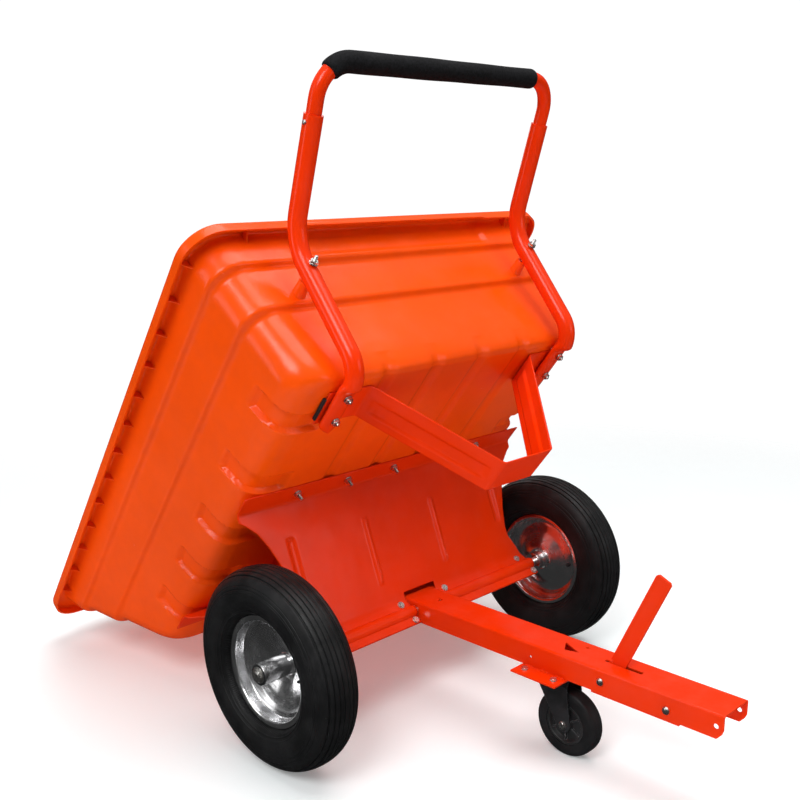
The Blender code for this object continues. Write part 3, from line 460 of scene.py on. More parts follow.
@dataclass(frozen=True)
class TyreRubber(Finish):
    """Black rubber with mould grain, fine ribs on the shoulder and a trace of dust."""

    ribs: float = 0.0

    def dress(self, graph: Graph, shader: bpy.types.Node, place: bpy.types.Node, effects: Effects) -> None:
        """Add the rubber's detail. The mesh's UV runs round the wheel in U and across the section in V."""
        spot, ring = place.outputs["Object"], place.outputs["UV"]
        mottle = self.group(graph, effects.mottle, {"Vector": spot, "Broad Scale": 9.0, "Small Scale": 120.0})
        base = graph.blend(mottle.outputs["Broad"], self.tone(0.75), self.tone(1.5))
        dust = self.group(graph, effects.dust, {"Vector": spot, "Patch Scale": 30.0, "Amount": 0.05}).outputs[0]
        base = graph.blend(dust, base, (0.30, 0.29, 0.28, 1.0))
        specks = graph.spread(graph.noise(spot, 420.0, 2.0, 0.6), 0.76, 0.82)
        base = graph.blend(graph.math("MULTIPLY", specks, 0.5), base, (0.45, 0.44, 0.42, 1.0))
        rough = graph.spread(mottle.outputs["Small"], 0.0, 1.0, self.roughness - 0.06, self.roughness + 0.08)
        rough = graph.math("ADD", rough, graph.math("MULTIPLY", dust, 0.8))
        grain = self.group(graph, effects.grain, {"Vector": spot, "Pebble Scale": 700.0, "Grit Scale": 2400.0})
        normal = self.bump(graph, grain.outputs["Height"], 0.28, 0.0004)
        if self.ribs:
            parts = graph.add("ShaderNodeSeparateXYZ", {0: ring})
            turn = graph.math("MULTIPLY", parts.outputs["X"], self.ribs * 2.0 * math.pi)
            wave = graph.math("SINE", turn)
            across = graph.math("ABSOLUTE", graph.math("SUBTRACT", parts.outputs["Y"], 0.5))
            band = graph.math("MULTIPLY", graph.spread(across, 0.205, 0.215), graph.spread(across, 0.275, 0.262))
            normal = self.bump(graph, graph.math("MULTIPLY", wave, band), 0.55, 0.0008, normal)
        self.join(graph, shader, Base_Color=base, Roughness=rough, Normal=normal)
        shader.inputs["Specular IOR Level"].default_value = 0.20


@dataclass(frozen=True)
class GripFoam(Finish):
    """Closed-cell foam sleeve: small cells, matt skin and lint."""

    def dress(self, graph: Graph, shader: bpy.types.Node, place: bpy.types.Node, effects: Effects) -> None:
        """Add the foam's detail."""
        spot = place.outputs["Object"]
        cells = graph.add("ShaderNodeTexVoronoi", {"Vector": spot, "Scale": 620.0}).outputs["Distance"]
        mottle = self.group(graph, effects.mottle, {"Vector": spot, "Broad Scale": 16.0, "Small Scale": 260.0})
        base = graph.blend(mottle.outputs["Small"], self.tone(0.6), self.tone(1.9))
        lint = graph.spread(graph.noise(graph.scaled(spot, (0.3, 1.0, 1.0)), 640.0, 2.0, 0.6), 0.72, 0.80)
        base = graph.blend(graph.math("MULTIPLY", lint, 0.20), base, (0.20, 0.20, 0.20, 1.0))
        grain = self.group(graph, effects.grain, {"Vector": spot, "Pebble Scale": 500.0, "Grit Scale": 1800.0})
        coarse = self.bump(graph, cells, 0.45, 0.0007)
        normal = self.bump(graph, grain.outputs["Height"], 0.30, 0.0005, coarse)
        rough = graph.spread(mottle.outputs["Broad"], 0.0, 1.0, self.roughness - 0.05, self.roughness + 0.05)
        self.join(graph, shader, Base_Color=base, Roughness=rough, Normal=normal)
        shader.inputs["Specular IOR Level"].default_value = 0.15


@dataclass(frozen=True)
class DarkSteel(Finish):
    """Dark pressed steel with a satin coat, rolled streaks and lighter grey along the edges."""

    def dress(self, graph: Graph, shader: bpy.types.Node, place: bpy.types.Node, effects: Effects) -> None:
        """Add the dark steel's detail."""
        spot = place.outputs["Object"]
        mottle = self.group(graph, effects.mottle, {"Vector": spot, "Broad Scale": 22.0, "Small Scale": 200.0})
        base = graph.blend(mottle.outputs["Broad"], self.tone(0.8), self.tone(1.35))
        # lighter grey along the edges, from the shared edge mask
        edge_light = self.group(graph, effects.edge_wear, {"Vector": spot, "Breakup Scale": 150.0, "Amount": 0.8})
        base = graph.blend(edge_light.outputs[0], base, (0.42, 0.42, 0.43, 1.0))
        marks = self.group(graph, effects.scratches, {"Vector": spot, "Scale": 160.0, "Amount": 0.5}).outputs[0]
        base = graph.blend(marks, base, (0.16, 0.16, 0.17, 1.0))
        rough = graph.spread(mottle.outputs["Small"], 0.0, 1.0, self.roughness - 0.07, self.roughness + 0.09)
        grain = self.group(graph, effects.grain, {"Vector": spot, "Pebble Scale": 600.0, "Grit Scale": 2400.0})
        normal = self.bump(graph, grain.outputs["Height"], 0.22, 0.0004)
        self.join(graph, shader, Base_Color=base, Roughness=rough, Normal=normal)


@dataclass(frozen=True)
class StudioFloor(Finish):
    """Pale even floor that fades out far from the cart."""

    def dress(self, graph: Graph, shader: bpy.types.Node, place: bpy.types.Node, effects: Effects) -> None:
        """Add the floor's faint unevenness and its fade."""
        spot = place.outputs["Object"]
        mottle = self.group(graph, effects.mottle, {"Vector": spot, "Broad Scale": 0.8, "Small Scale": 12.0})
        base = graph.blend(mottle.outputs["Broad"], self.tone(0.985), self.tone(1.0))
        away = graph.add("ShaderNodeVectorMath", {0: spot}, operation="LENGTH").outputs["Value"]
        grain = self.group(graph, effects.grain, {"Vector": spot, "Pebble Scale": 90.0, "Grit Scale": 400.0})
        normal = self.bump(graph, grain.outputs["Height"], 0.05, 0.0005)
        self.join(graph, shader, Base_Color=base, Normal=normal, Alpha=graph.spread(away, 3.2, 1.5))
        shader.inputs["Specular IOR Level"].default_value = 0.05
        shader.inputs["Emission Color"].default_value = (1.0, 1.0, 1.0, 1.0)
        shader.inputs["Emission Strength"].default_value = 0.18


class Paintbox:
    """Every material of the cart, built once."""

    def __init__(self, effects: Effects) -> None:
        """Build the materials from the shared effects."""
        orange, coat = (0.98, 0.082, 0.001), (0.85, 0.034, 0.0005)
        finishes = {
            "tub": MouldedPlastic("orange_moulded_plastic", "tub_plastic", orange, 0.22),
            "coat": PowderCoat("orange_powder_coat", "coated_steel", coat, 0.19),
            "bright": PlatedSteel("bright_zinc_plating", "plated_steel", (0.82, 0.81, 0.79), 0.24, 1.0),
            "rim": SpunRim("polished_rim_zinc", "rim_plate", (0.86, 0.86, 0.87), 0.17, 1.0),
            "tyre": TyreRubber("ribbed_tyre_rubber", "tyre_rubber", (0.0065, 0.0065, 0.0070), 0.44, 0.0, 180.0),
            "valve": TyreRubber("valve_stem_rubber", "valve_rubber", (0.014, 0.014, 0.015), 0.55),
            "caster_tyre": TyreRubber("caster_tyre_rubber", "tyre_rubber", (0.011, 0.011, 0.012), 0.48),
            "foam": GripFoam("black_grip_foam", "grip_foam", (0.0055, 0.0055, 0.0062), 0.88),
            "dark": DarkSteel("dark_pressed_steel", "dark_steel", (0.060, 0.061, 0.065), 0.38, 0.75),
            "core": DarkSteel("black_caster_plastic", "caster_plastic", (0.020, 0.020, 0.021), 0.42, 0.0),
            "floor": StudioFloor("pale_studio_floor", "", (0.885, 0.930, 0.935), 0.65),
        }
        self.finishes = finishes
        self.materials = {key: finish.build(effects) for key, finish in finishes.items()}

    def paint(self, piece: bpy.types.Object, key: str) -> None:
        """Give a piece a finish in every material slot.

        Args:
            piece: the object.
            key: which finish.
        """
        material = self.materials[key]
        if not piece.data.materials:
            piece.data.materials.append(material)
        for place in piece.material_slots:
            place.material = material


# ---------------------------------------------------------------- mesh tools


def smooth(low: float, high: float, value: np.ndarray) -> np.ndarray:
    """Smooth step from 0 at low to 1 at high; low may be the larger."""
    t = np.clip((value - low) / (high - low), 0.0, 1.0)
    return t * t * (3.0 - 2.0 * t)


def hump(value: np.ndarray, centre: float, flat: float, reach: float) -> np.ndarray:
    """1 within flat of the centre, falling smoothly to 0 at reach."""
    return 1.0 - smooth(flat, reach, np.abs(value - centre))


def plateau(value: np.ndarray, low: float, high: float, soft: float) -> np.ndarray:
    """1 between low and high, with soft ends outside them."""
    return smooth(low - soft, low, value) * (1.0 - smooth(high, high + soft, value))


def round_corners(points: Sequence[Sequence[float]], reach: float | Sequence[float], steps: int) -> np.ndarray:
    """Round the inner corners of a path of any dimension.

    Args:
        points: the corners.
        reach: how far from each inner corner its curve starts, or one value for all.
        steps: segments in each curve.

    Returns:
        The rounded path.
    """
    corners = np.array(points, float)
    reaches = [reach] * len(points) if isinstance(reach, float) else list(reach)
    path = [corners[0]]
    for before, corner, after, far in zip(corners, corners[1:], corners[2:], reaches):
        back, on = before - corner, after - corner
        start = corner + back * min(0.48, far / np.linalg.norm(back))
        end = corner + on * min(0.48, far / np.linalg.norm(on))
        for t in np.linspace(0.0, 1.0, steps + 1):
            path.append((1.0 - t) ** 2 * start + 2.0 * t * (1.0 - t) * corner + t * t * end)
    path.append(corners[-1])
    return np.array(path)


def round_loop(points: Sequence[Sequence[float]], reach: float, steps: int) -> np.ndarray:
    """Round every corner of a closed outline."""
    extended = [points[-1], *points, points[0]]
    return round_corners(extended, reach, steps)[1:-1]


def fill_in(path: np.ndarray, spacing: float) -> np.ndarray:
    """Add points to a path so that no step is longer than the spacing."""
    filled = [path[0]]
    for start, end in zip(path, path[1:]):
        count = max(1, math.ceil(float(np.linalg.norm(end - start)) / spacing))
        filled += [start + (end - start) * k / count for k in range(1, count + 1)]
    return np.array(filled)


def spline(points: Sequence[Sequence[float]], steps: int) -> np.ndarray:
    """Smooth curve through the points, with a number of steps between each two."""
    knots = np.array(points, float)
    ends = np.vstack([2.0 * knots[0] - knots[1], knots, 2.0 * knots[-1] - knots[-2]])
    curve = []
    for a, b, c, d in zip(ends, ends[1:], ends[2:], ends[3:]):
        for t in np.arange(steps) / steps:
            curve.append(0.5 * (2.0 * b + (c - a) * t + (2.0 * a - 5.0 * b + 4.0 * c - d) * t * t
                                + (3.0 * b - a - 3.0 * c + d) * t ** 3))
    curve.append(knots[-1])
    return np.array(curve)


def grid_faces(rows: int, columns: int, wrap_rows: bool, wrap_columns: bool) -> list[tuple[int, ...]]:
    """Quads of a grid of points stored row by row.

    Args:
        rows: number of rows.
        columns: number of columns.
        wrap_rows: whether the last row joins the first.
        wrap_columns: whether the last column joins the first.

    Returns:
        The faces.
    """
    faces = []
    for row in range(rows if wrap_rows else rows - 1):
        here, there = row * columns, (row + 1) % rows * columns
        for column in range(columns if wrap_columns else columns - 1):
            beside = (column + 1) % columns
            faces.append((here + column, here + beside, there + beside, there + column))
    return faces


def joined(shapes: Sequence[Shape]) -> Shape:
    """Several shapes as one."""
    vertices, faces, count = [], [], 0
    for points, polygons in shapes:
        vertices.append(np.asarray(points, float))
        faces += [tuple(index + count for index in polygon) for polygon in polygons]
        count += len(points)
    return np.vstack(vertices), faces


def prism(outline: Sequence[Sequence[float]], low: float, high: float, axis: str) -> Shape:
    """A closed outline pushed along X, Y or Z, the two other axes in order."""
    flat = np.asarray(outline, float)
    place = "XYZ".index(axis)
    ends = [np.insert(flat, place, level, axis=1) for level in (low, high)]
    count = len(flat)
    faces = grid_faces(2, count, False, True)
    faces += [tuple(range(count))[::-1], tuple(range(count, 2 * count))]
    return np.vstack(ends), faces


def across_axis(axis: Vector) -> tuple[Vector, Vector, Vector]:
    """Two directions square to an axis, and the axis, all of length one."""
    along = axis.normalized()
    helper = Vector((0.0, 0.0, 1.0)) if abs(along.z) < 0.9 else Vector((1.0, 0.0, 0.0))
    first = helper.cross(along).normalized()
    return first, along.cross(first), along


def revolved(profile: np.ndarray, segments: int, centre: Vector, axis: Vector, closed: bool,
             turn: float = 0.0) -> Shape:
    """Turn a profile about an axis.

    Args:
        profile: (distance along the axis, radius) points.
        segments: steps round.
        centre: where distance zero is.
        axis: direction of the axis.
        closed: whether the profile is a loop; if not, both ends get a flat cap.
        turn: angle of the first segment.

    Returns:
        The solid.
    """
    first, second, along = (np.array(direction) for direction in across_axis(axis))
    angles = turn + 2.0 * math.pi * np.arange(segments) / segments
    spokes = np.outer(np.cos(angles), first) + np.outer(np.sin(angles), second)
    rings = [np.array(centre) + along * far + spokes * radius for far, radius in np.asarray(profile, float)]
    faces = grid_faces(len(rings), segments, closed, True)
    if not closed:
        last = (len(rings) - 1) * segments
        faces += [tuple(range(segments))[::-1], tuple(range(last, last + segments))]
    return np.vstack(rings), faces


def swept(path: np.ndarray, radii: np.ndarray, segments: int) -> Shape:
    """A round bar along a path, capped at both ends.

    Args:
        path: its middle line.
        radii: the radius at each point of the path.
        segments: steps round.

    Returns:
        The solid.
    """
    points = [Vector(point) for point in path]
    tangents = []
    for i in range(len(points)):
        tangents.append((points[min(i + 1, len(points) - 1)] - points[max(i - 1, 0)]).normalized())
    first, second, _ = across_axis(tangents[0])
    rings = []
    for i, point in enumerate(points):
        if i:
            turn = tangents[i - 1].rotation_difference(tangents[i])
            first, second = turn @ first, turn @ second
        angles = 2.0 * math.pi * np.arange(segments) / segments
        spokes = np.outer(np.cos(angles), np.array(first)) + np.outer(np.sin(angles), np.array(second))
        rings.append(np.array(point) + spokes * radii[i])
    last = (len(rings) - 1) * segments
    faces = grid_faces(len(rings), segments, False, True)
    faces += [tuple(range(segments))[::-1], tuple(range(last, last + segments))]
    return np.vstack(rings), faces


def make_piece(name: str, shape: Shape, sharp: float = 40.0, matrix: Matrix | None = None) -> bpy.types.Object:
    """Make an object with its place in its mesh.

    Args:
        name: the piece's name.
        shape: its points and faces.
        sharp: edges that turn more than this many degrees stay sharp.
        matrix: from the shape's own frame to the cart's.

    Returns:
        The object.
    """
    points, faces = shape
    mesh = bpy.data.meshes.new(name)
    mesh.from_pydata(np.asarray(points, float).tolist(), [], faces)
    if matrix is not None:
        mesh.transform(matrix)
    shaped = bmesh.new()
    shaped.from_mesh(mesh)
    bmesh.ops.remove_doubles(shaped, verts=shaped.verts, dist=1e-6)
    bmesh.ops.recalc_face_normals(shaped, faces=shaped.faces)
    shaped.to_mesh(mesh)
    shaped.free()
    mesh.polygons.foreach_set("use_smooth", [True] * len(mesh.polygons))
    mesh.set_sharp_from_angle(angle=math.radians(sharp))
    piece = bpy.data.objects.new(name, mesh)
    bpy.context.scene.collection.objects.link(piece)
    return piece


def wrap_uv(piece: bpy.types.Object, centre: Vector, axis: Vector, reach: float) -> None:
    """Write UVs that run round an axis in U and across the section in V.

    Args:
        piece: the object.
        centre: middle of the wheel.
        axis: the wheel's axle.
        reach: half the width that V covers, so that the middle of the section is at V 0.5.
    """
    first, second, along = across_axis(axis)
    mesh = piece.data
    layer = mesh.uv_layers.new(name="wrap").data
    for polygon in mesh.polygons:
        middle = polygon.center - centre
        base = math.atan2(middle.dot(second), middle.dot(first)) / (2.0 * math.pi)
        for loop in polygon.loop_indices:
            spot = mesh.vertices[mesh.loops[loop].vertex_index].co - centre
            turn = math.atan2(spot.dot(second), spot.dot(first)) / (2.0 * math.pi)
            turn += round(base - turn)
            radius = (spot - along * spot.dot(along)).length
            layer[loop].uv = (turn, 0.5 + math.copysign(1.0, spot.dot(along)) * (reach - radius) / reach * 0.5)


def cut(piece: bpy.types.Object, shapes: Sequence[Shape], matrix: Matrix | None = None) -> None:
    """Cut shapes out of a piece for good.

    Args:
        piece: the object that is cut.
        shapes: what is cut out; none of them touches another.
        matrix: from the shapes' own frame to the cart's.
    """
    cutter = make_piece(piece.name + "_cutter", joined(shapes), 40.0, matrix)
    modifier = piece.modifiers.new("openings", "BOOLEAN")
    modifier.object = cutter
    modifier.solver = "EXACT"
    evaluated = piece.evaluated_get(bpy.context.evaluated_depsgraph_get())
    old = piece.data
    piece.data = bpy.data.meshes.new_from_object(evaluated)
    piece.modifiers.clear()
    piece.data.set_sharp_from_angle(angle=math.radians(40.0))
    bpy.data.meshes.remove(old)
    bpy.data.objects.remove(cutter)


def soften(piece: bpy.types.Object, width: float, segments: int = 3) -> None:
    """Round a piece's sharp edges with a bevel."""
    bevel = piece.modifiers.new("softened_edges", "BEVEL")
    bevel.width = width
    bevel.segments = segments
    bevel.limit_method = "ANGLE"
    bevel.angle_limit = math.radians(35.0)
    bevel.harden_normals = False


def thicken(piece: bpy.types.Object, thickness: float) -> None:
    """Give a sheet its thickness, half on each side."""
    solid = piece.modifiers.new("sheet_thickness", "SOLIDIFY")
    solid.thickness = thickness
    solid.offset = 0.0
    solid.use_even_offset = True


@dataclass(frozen=True)
class TiltedFrame:
    """The tipping group's own axes: X across, -Y forward, Z up, with the axle as the origin."""

    matrix: Matrix

    def local_points(self, node: str) -> np.ndarray:
        """A CAD node's points in these axes."""
        back = self.matrix.inverted()
        return np.array([back @ vertex.co for vertex in frame["nodes"][node].data.vertices])

    def local_box(self, node: str) -> tuple[np.ndarray, np.ndarray]:
        """A CAD node's lowest and highest corner in these axes."""
        points = self.local_points(node)
        return points.min(0), points.max(0)


def hauling_frame() -> TiltedFrame:
    """The tipping group's axes, from the record's tipping joint."""
    joint = next(joint for joint in frame["joints"] if joint["child"] == Body.TUB.value)
    spot = Vector(joint["pos_m"])
    tilt = math.radians(max(joint["range_deg"]))
    return TiltedFrame(Matrix.Translation(spot) @ Matrix.Rotation(-tilt, 4, "X"))


@dataclass
class Workshop:
    """What every sub-assembly needs: the materials, the tilted axes and the way to finish a piece."""

    paintbox: Paintbox
    tilted: TiltedFrame

    def finish(self, piece: bpy.types.Object, key: str, body: Body, *nodes: str) -> bpy.types.Object:
        """Paint a piece, put it on its body and let it stand for CAD nodes.

        Args:
            piece: the object.
            key: its finish.
            body: what it moves with.
            nodes: the CAD nodes that it replaces.

        Returns:
            The same object.
        """
        self.paintbox.paint(piece, key)
        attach(piece, body.value)
        if nodes:
            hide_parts(*nodes)
        LOG.info("%s rides on %s as %s", piece.name, body.value, key)
        return piece

    def dress_node(self, node: str, key: str, edge: float = 0.0) -> None:
        """Keep a CAD node as it is, with a finish and softened edges.

        Args:
            node: the node's name.
            key: its finish.
            edge: width of the edge rounding, or 0 for none.
        """
        piece = frame["nodes"][node]
        self.paintbox.paint(piece, key)
        if edge:
            soften(piece, edge)
        LOG.info("%s keeps its shape as %s", node, key)


# ---------------------------------------------------------------- fasteners


@dataclass(frozen=True)
class Fastener:
    """A bolt with its washer, nut and threaded tail, sized to the CAD bolt that it stands for."""

    head: float
    head_height: float
    shank: float
    nut: float
    nut_height: float
    tail: float
    style: HeadStyle = HeadStyle.DOMED
    pitch: float = 0.0011

    def head_shape(self, centre: Vector, axis: Vector) -> list[Shape]:
        """The head, under distance zero.

        Args:
            centre: where the head meets the work.
            axis: direction from head to nut.

        Returns:
            The head's solids.
        """
        if self.style is HeadStyle.DOMED:
            angles = np.radians(np.linspace(0.0, 84.0, 9))
            dome = [(-self.head_height * 0.18 - self.head_height * 0.82 * math.sin(a), self.head * math.cos(a))
                    for a in angles]
            profile = [*dome[::-1], (0.0, self.head), (0.0, self.shank)]
            return [revolved(np.array(profile), 28, centre, axis, False)]
        washer = [(-0.0010, self.shank), (-0.0010, self.head * 1.08), (-0.0001, self.head * 1.12), (0.0, self.shank)]
        return [revolved(np.array(washer), 28, centre, axis, True),
                self.hexagon(centre, axis, -self.head_height, -0.0010, self.head)]

    def hexagon(self, centre: Vector, axis: Vector, start: float, end: float, radius: float) -> Shape:
        """A six-sided nut or head with chamfered corners.

        Args:
            centre: where distance zero is.
            axis: its direction.
            start: one end.
            end: the other end.
            radius: distance from the middle to a corner.

        Returns:
            The solid.
        """
        chamfer = (end - start) * 0.16
        levels = [(start, 0.84), (start + chamfer, 1.0), (end - chamfer, 1.0), (end, 0.88)]
        first, second, along = (np.array(direction) for direction in across_axis(axis))
        rings = []
        for far, share in levels:
            for k in range(24):
                angle = 2.0 * math.pi * k / 24
                flat = math.cos(math.pi / 6.0) / math.cos((angle % (math.pi / 3.0)) - math.pi / 6.0)
                reach = radius * min(flat, share + 0.02)
                rings.append(np.array(centre) + along * far
                             + (first * math.cos(angle) + second * math.sin(angle)) * reach)
        faces = grid_faces(len(levels), 24, False, True)
        last = (len(levels) - 1) * 24
        faces += [tuple(range(24))[::-1], tuple(range(last, last + 24))]
        return np.array(rings), faces

    def build(self, centre: Vector, axis: Vector, length: float) -> Shape:
        """The whole fastener.

        Args:
            centre: where the head meets the work.
            axis: direction from head to nut.
            length: from the head's outer end to the tail's end.

        Returns:
            The shape.
        """
        grip = length - self.head_height - self.nut_height - self.tail
        shapes = self.head_shape(centre, axis)
        threads = [(0.0, self.shank)]
        if self.nut_height:
            washer = 0.0010
            collar = [(grip, self.shank), (grip + 0.0001, self.nut * 1.10), (grip + washer, self.nut * 1.06),
                      (grip + washer, self.shank)]
            shapes.append(revolved(np.array(collar), 28, centre, axis, True))
            shapes.append(self.hexagon(centre, axis, grip + washer, grip + self.nut_height, self.nut))
            threads.append((grip + self.nut_height - 0.001, self.shank))
        end = grip + self.nut_height + self.tail
        turns = max(1, int((end - threads[-1][0] - 0.0006) / self.pitch))
        for k in range(turns):
            start = threads[-1][0] if k == 0 else grip + self.nut_height - 0.001 + k * self.pitch
            threads += [(start + self.pitch * 0.3, self.shank * 0.86), (start + self.pitch * 0.7, self.shank)]
        threads += [(end - 0.0004, self.shank * 0.92), (end, self.shank * 0.74)]
        shapes.append(revolved(np.array(threads), 20, centre, axis, False))
        return joined(shapes)


@dataclass
class FastenerKit:
    """Replaces the CAD bolts with detailed ones."""

    workshop: Workshop

    def place(self, node: str, size: Fastener, axis: Vector, body: Body, tilted: bool) -> None:
        """Stand one fastener in a CAD bolt's place.

        Args:
            node: the CAD bolt.
            size: the fastener.
            axis: direction from head to nut, along one axis of its frame.
            body: what it moves with.
            tilted: whether the axis is given in the tipping group's frame.
        """
        if tilted:
            low, high = self.workshop.tilted.local_box(node)
            matrix = self.workshop.tilted.matrix
        else:
            low, high = (np.array(corner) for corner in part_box(node))
            matrix = Matrix.Identity(4)
        middle = Vector((low + high) / 2.0)
        length = abs(float(np.dot(high - low, np.array(axis))))
        seat = middle - axis * (length / 2.0 - size.head_height)
        piece = make_piece(node + "_detail", size.build(seat, axis, length), 32.0, matrix)
        self.workshop.finish(piece, "bright", body, node)

    def build(self) -> None:
        """Replace every bolt."""
        down, back, ahead = Vector((0, 0, -1)), Vector((0, 1, 0)), Vector((0, -1, 0))
        flange = Fastener(0.0080, 0.004, 0.0036, 0.0080, 0.0060, 0.011)
        for count in range(1, 6):
            self.place("front_flange_bolt_%d" % count, flange, down, Body.TUB, True)
        for count in range(1, 4):
            self.place("rear_flange_bolt_%d" % count, flange, down, Body.TUB, True)
        clamp = Fastener(0.0072, 0.0035, 0.0036, 0.0072, 0.0045, 0.003, HeadStyle.HEXAGON)
        for level in ("upper", "lower"):
            for count in range(1, 5):
                self.place("clamp_bolt_%s_%d" % (level, count), clamp, back, Body.TUB, True)
        foot = Fastener(0.0080, 0.004, 0.0036, 0.0080, 0.0060, 0.004)
        wall = Fastener(0.0080, 0.004, 0.0036, 0.0080, 0.0060, 0.010)
        for side in ("right", "left"):
            for spot in ("front", "rear"):
                self.place("tube_bolt_%s_%s" % (side, spot), foot, down, Body.TUB, True)
            self.place("wall_bolt_" + side, wall, ahead, Body.TUB, True)
        across = Vector((1, 0, 0))
        pivot = Fastener(0.0075, 0.0045, 0.0040, 0.0070, 0.0060, 0.003)
        for node in ("latch_pivot_bolt", "channel_bolt"):
            self.place(node, pivot, across, Body.CHASSIS, False)
        plate = Fastener(0.0065, 0.0040, 0.0034, 0.0065, 0.0050, 0.003, HeadStyle.HEXAGON)
        for count in range(1, 5):
            self.place("caster_bolt_%d" % count, plate, down, Body.CHASSIS, False)
        axle = Fastener(0.0075, 0.0050, 0.0042, 0.0075, 0.0065, 0.003, HeadStyle.HEXAGON)
        self.place("caster_axle_bolt", axle, across, Body.SWIVEL, False)


# ---------------------------------------------------------------- tub


@dataclass
class Tub:
    """Moulded tub: stepped walls, rolled rim, recessed bands, grooved floor and rim gussets."""

    workshop: Workshop
    wall: float = 0.004
    half_width: float = 0.479
    front: float = 0.581
    rear: float = -0.612
    taper: float = 0.035
    floor: float = 0.262
    along: int = 250
    across: int = 90
    corner_steps: int = 12
    floor_rings: int = 64
    bands: tuple[float, ...] = (0.387, 0.217, 0.057, -0.084, -0.223)
    grooves: tuple[float, ...] = (-0.195, -0.065, 0.065, 0.195)
    band_depth: float = 0.0110
    groove_depth: float = 0.0048
    panel_depth: float = 0.0035
    boss_place: tuple[float, float, float] = (0.308, -0.5250, 0.445)
    boss: tuple[tuple[float, float], ...] = (
        (0.0, 0.0045), (0.0, 0.0150), (0.004, 0.0128), (0.0300, 0.0105), (0.0318, 0.0092), (0.0318, 0.0045))
    front_fins_from: float = 0.300
    # Outer face of the wall: height, then inset of the sides, front and rear, then corner rounding.
    profile: tuple[tuple[float, float, float, float, float], ...] = (
        (0.562, 0.004, 0.004, 0.004, 0.000), (0.581, 0.004, 0.004, 0.004, 0.004),
        (0.581, 0.028, 0.028, 0.028, 0.008), (0.515, 0.032, 0.034, 0.064, 0.007),
        (0.507, 0.043, 0.046, 0.080, 0.009), (0.425, 0.052, 0.055, 0.142, 0.007),
        (0.417, 0.063, 0.067, 0.158, 0.009), (0.330, 0.071, 0.074, 0.225, 0.012),
        (0.300, 0.075, 0.078, 0.247, 0.014), (0.279, 0.085, 0.083, 0.264, 0.012),
        (0.267, 0.101, 0.090, 0.280, 0.012), (0.262, 0.123, 0.101, 0.302, 0.000))

    def outline(self, side: float, front: float, rear: float) -> np.ndarray:
        """One level of the tub seen from above, as (across, forward) points before the taper."""
        radius = 0.070 - min(side, 0.060) * 0.25
        half, low, high = self.half_width - side, self.rear + rear, self.front - front
        centres = np.array([(half - radius, high - radius), (-half + radius, high - radius),
                            (-half + radius, low + radius), (half - radius, low + radius)])
        arcs = []
        for k, centre in enumerate(centres):
            angles = np.radians(90.0 * k + np.linspace(0.0, 90.0, self.corner_steps + 1))
            arcs.append(centre + radius * np.stack([np.cos(angles), np.sin(angles)], 1))
        points = []
        for k, count in enumerate((self.across, self.along, self.across, self.along)):
            start, end = arcs[k][-1], arcs[(k + 1) % 4][0]
            share = np.linspace(0.0, 1.0, count + 2)[1:-1, None]
            points += [arcs[k], start + (end - start) * share]
        return np.vstack(points)

    def outer_grid(self) -> tuple[np.ndarray, np.ndarray]:
        """The wall's outer face and the directions to its inner face, level by level."""
        corners = np.array(self.profile)
        path = fill_in(round_corners(corners[:, :4], list(corners[1:-1, 4]), 7), 0.007)
        levels = []
        for height, side, front, rear in path:
            ring = self.outline(side, front, rear)
            levels.append(np.column_stack([ring, np.full(len(ring), height)]))
        edge = levels[-1]
        spine = edge.copy()
        spine[:, 0] = 0.0
        spine[:, 1] = np.clip(edge[:, 1], edge[:, 1].min() + 0.30, edge[:, 1].max() - 0.30)
        for share in np.linspace(0.0, 1.0, self.floor_rings + 1)[1:]:
            levels.append(edge + (spine - edge) * share)
        grid = np.array(levels)
        grid[:, :, 0] *= 1.0 + self.taper * grid[:, :, 1]
        down = np.gradient(grid, axis=0)
        round_about = np.roll(grid, -1, 1) - np.roll(grid, 1, 1)
        normal = np.cross(down, round_about)
        floor_rows = np.arange(len(grid)) >= len(path)
        normal[floor_rows] = (0.0, 0.0, 1.0)
        normal /= np.linalg.norm(normal, axis=2, keepdims=True) + 1e-12
        middle = len(path) // 2
        inward = -np.sum(normal[middle, :, :2] * grid[middle, :, :2], axis=1).mean()
        if inward < 0.0:
            normal[~floor_rows] *= -1.0
        return grid, normal

    def relief(self, grid: np.ndarray) -> np.ndarray:
        """How far the wall is pressed inward at each point, in metres."""
        x, u, w = grid[:, :, 0], grid[:, :, 1], grid[:, :, 2]
        lateral = np.abs(x)
        reach = plateau(w, -1.0, 0.338, 0.012) * smooth(0.306, 0.322, lateral)
        depth = np.zeros_like(x)
        for middle in self.bands:
            depth += self.band_depth * hump(u, middle, 0.0205, 0.0255) * reach
        length = plateau(u, -0.27, 0.492, 0.016)
        for middle in self.grooves:
            depth += self.groove_depth * hump(x, middle, 0.008, 0.017) * length * (w < 0.300)
        panel = smooth(0.50, 0.53, u) * plateau(x, -0.262, 0.262, 0.012) * plateau(w, 0.527, 0.568, 0.005)
        return depth + self.panel_depth * panel

    def shell(self) -> Shape:
        """The whole wall as a closed body in the tub's own frame."""
        grid, normal = self.outer_grid()
        depth = self.relief(grid)
        outer = grid + normal * depth[:, :, None]
        inner = outer + normal * self.wall
        rings = np.concatenate([outer[::-1], inner])
        rings[:, :, 1] *= -1.0
        rows, columns = rings.shape[:2]
        return rings.reshape(-1, 3), grid_faces(rows, columns, False, True)

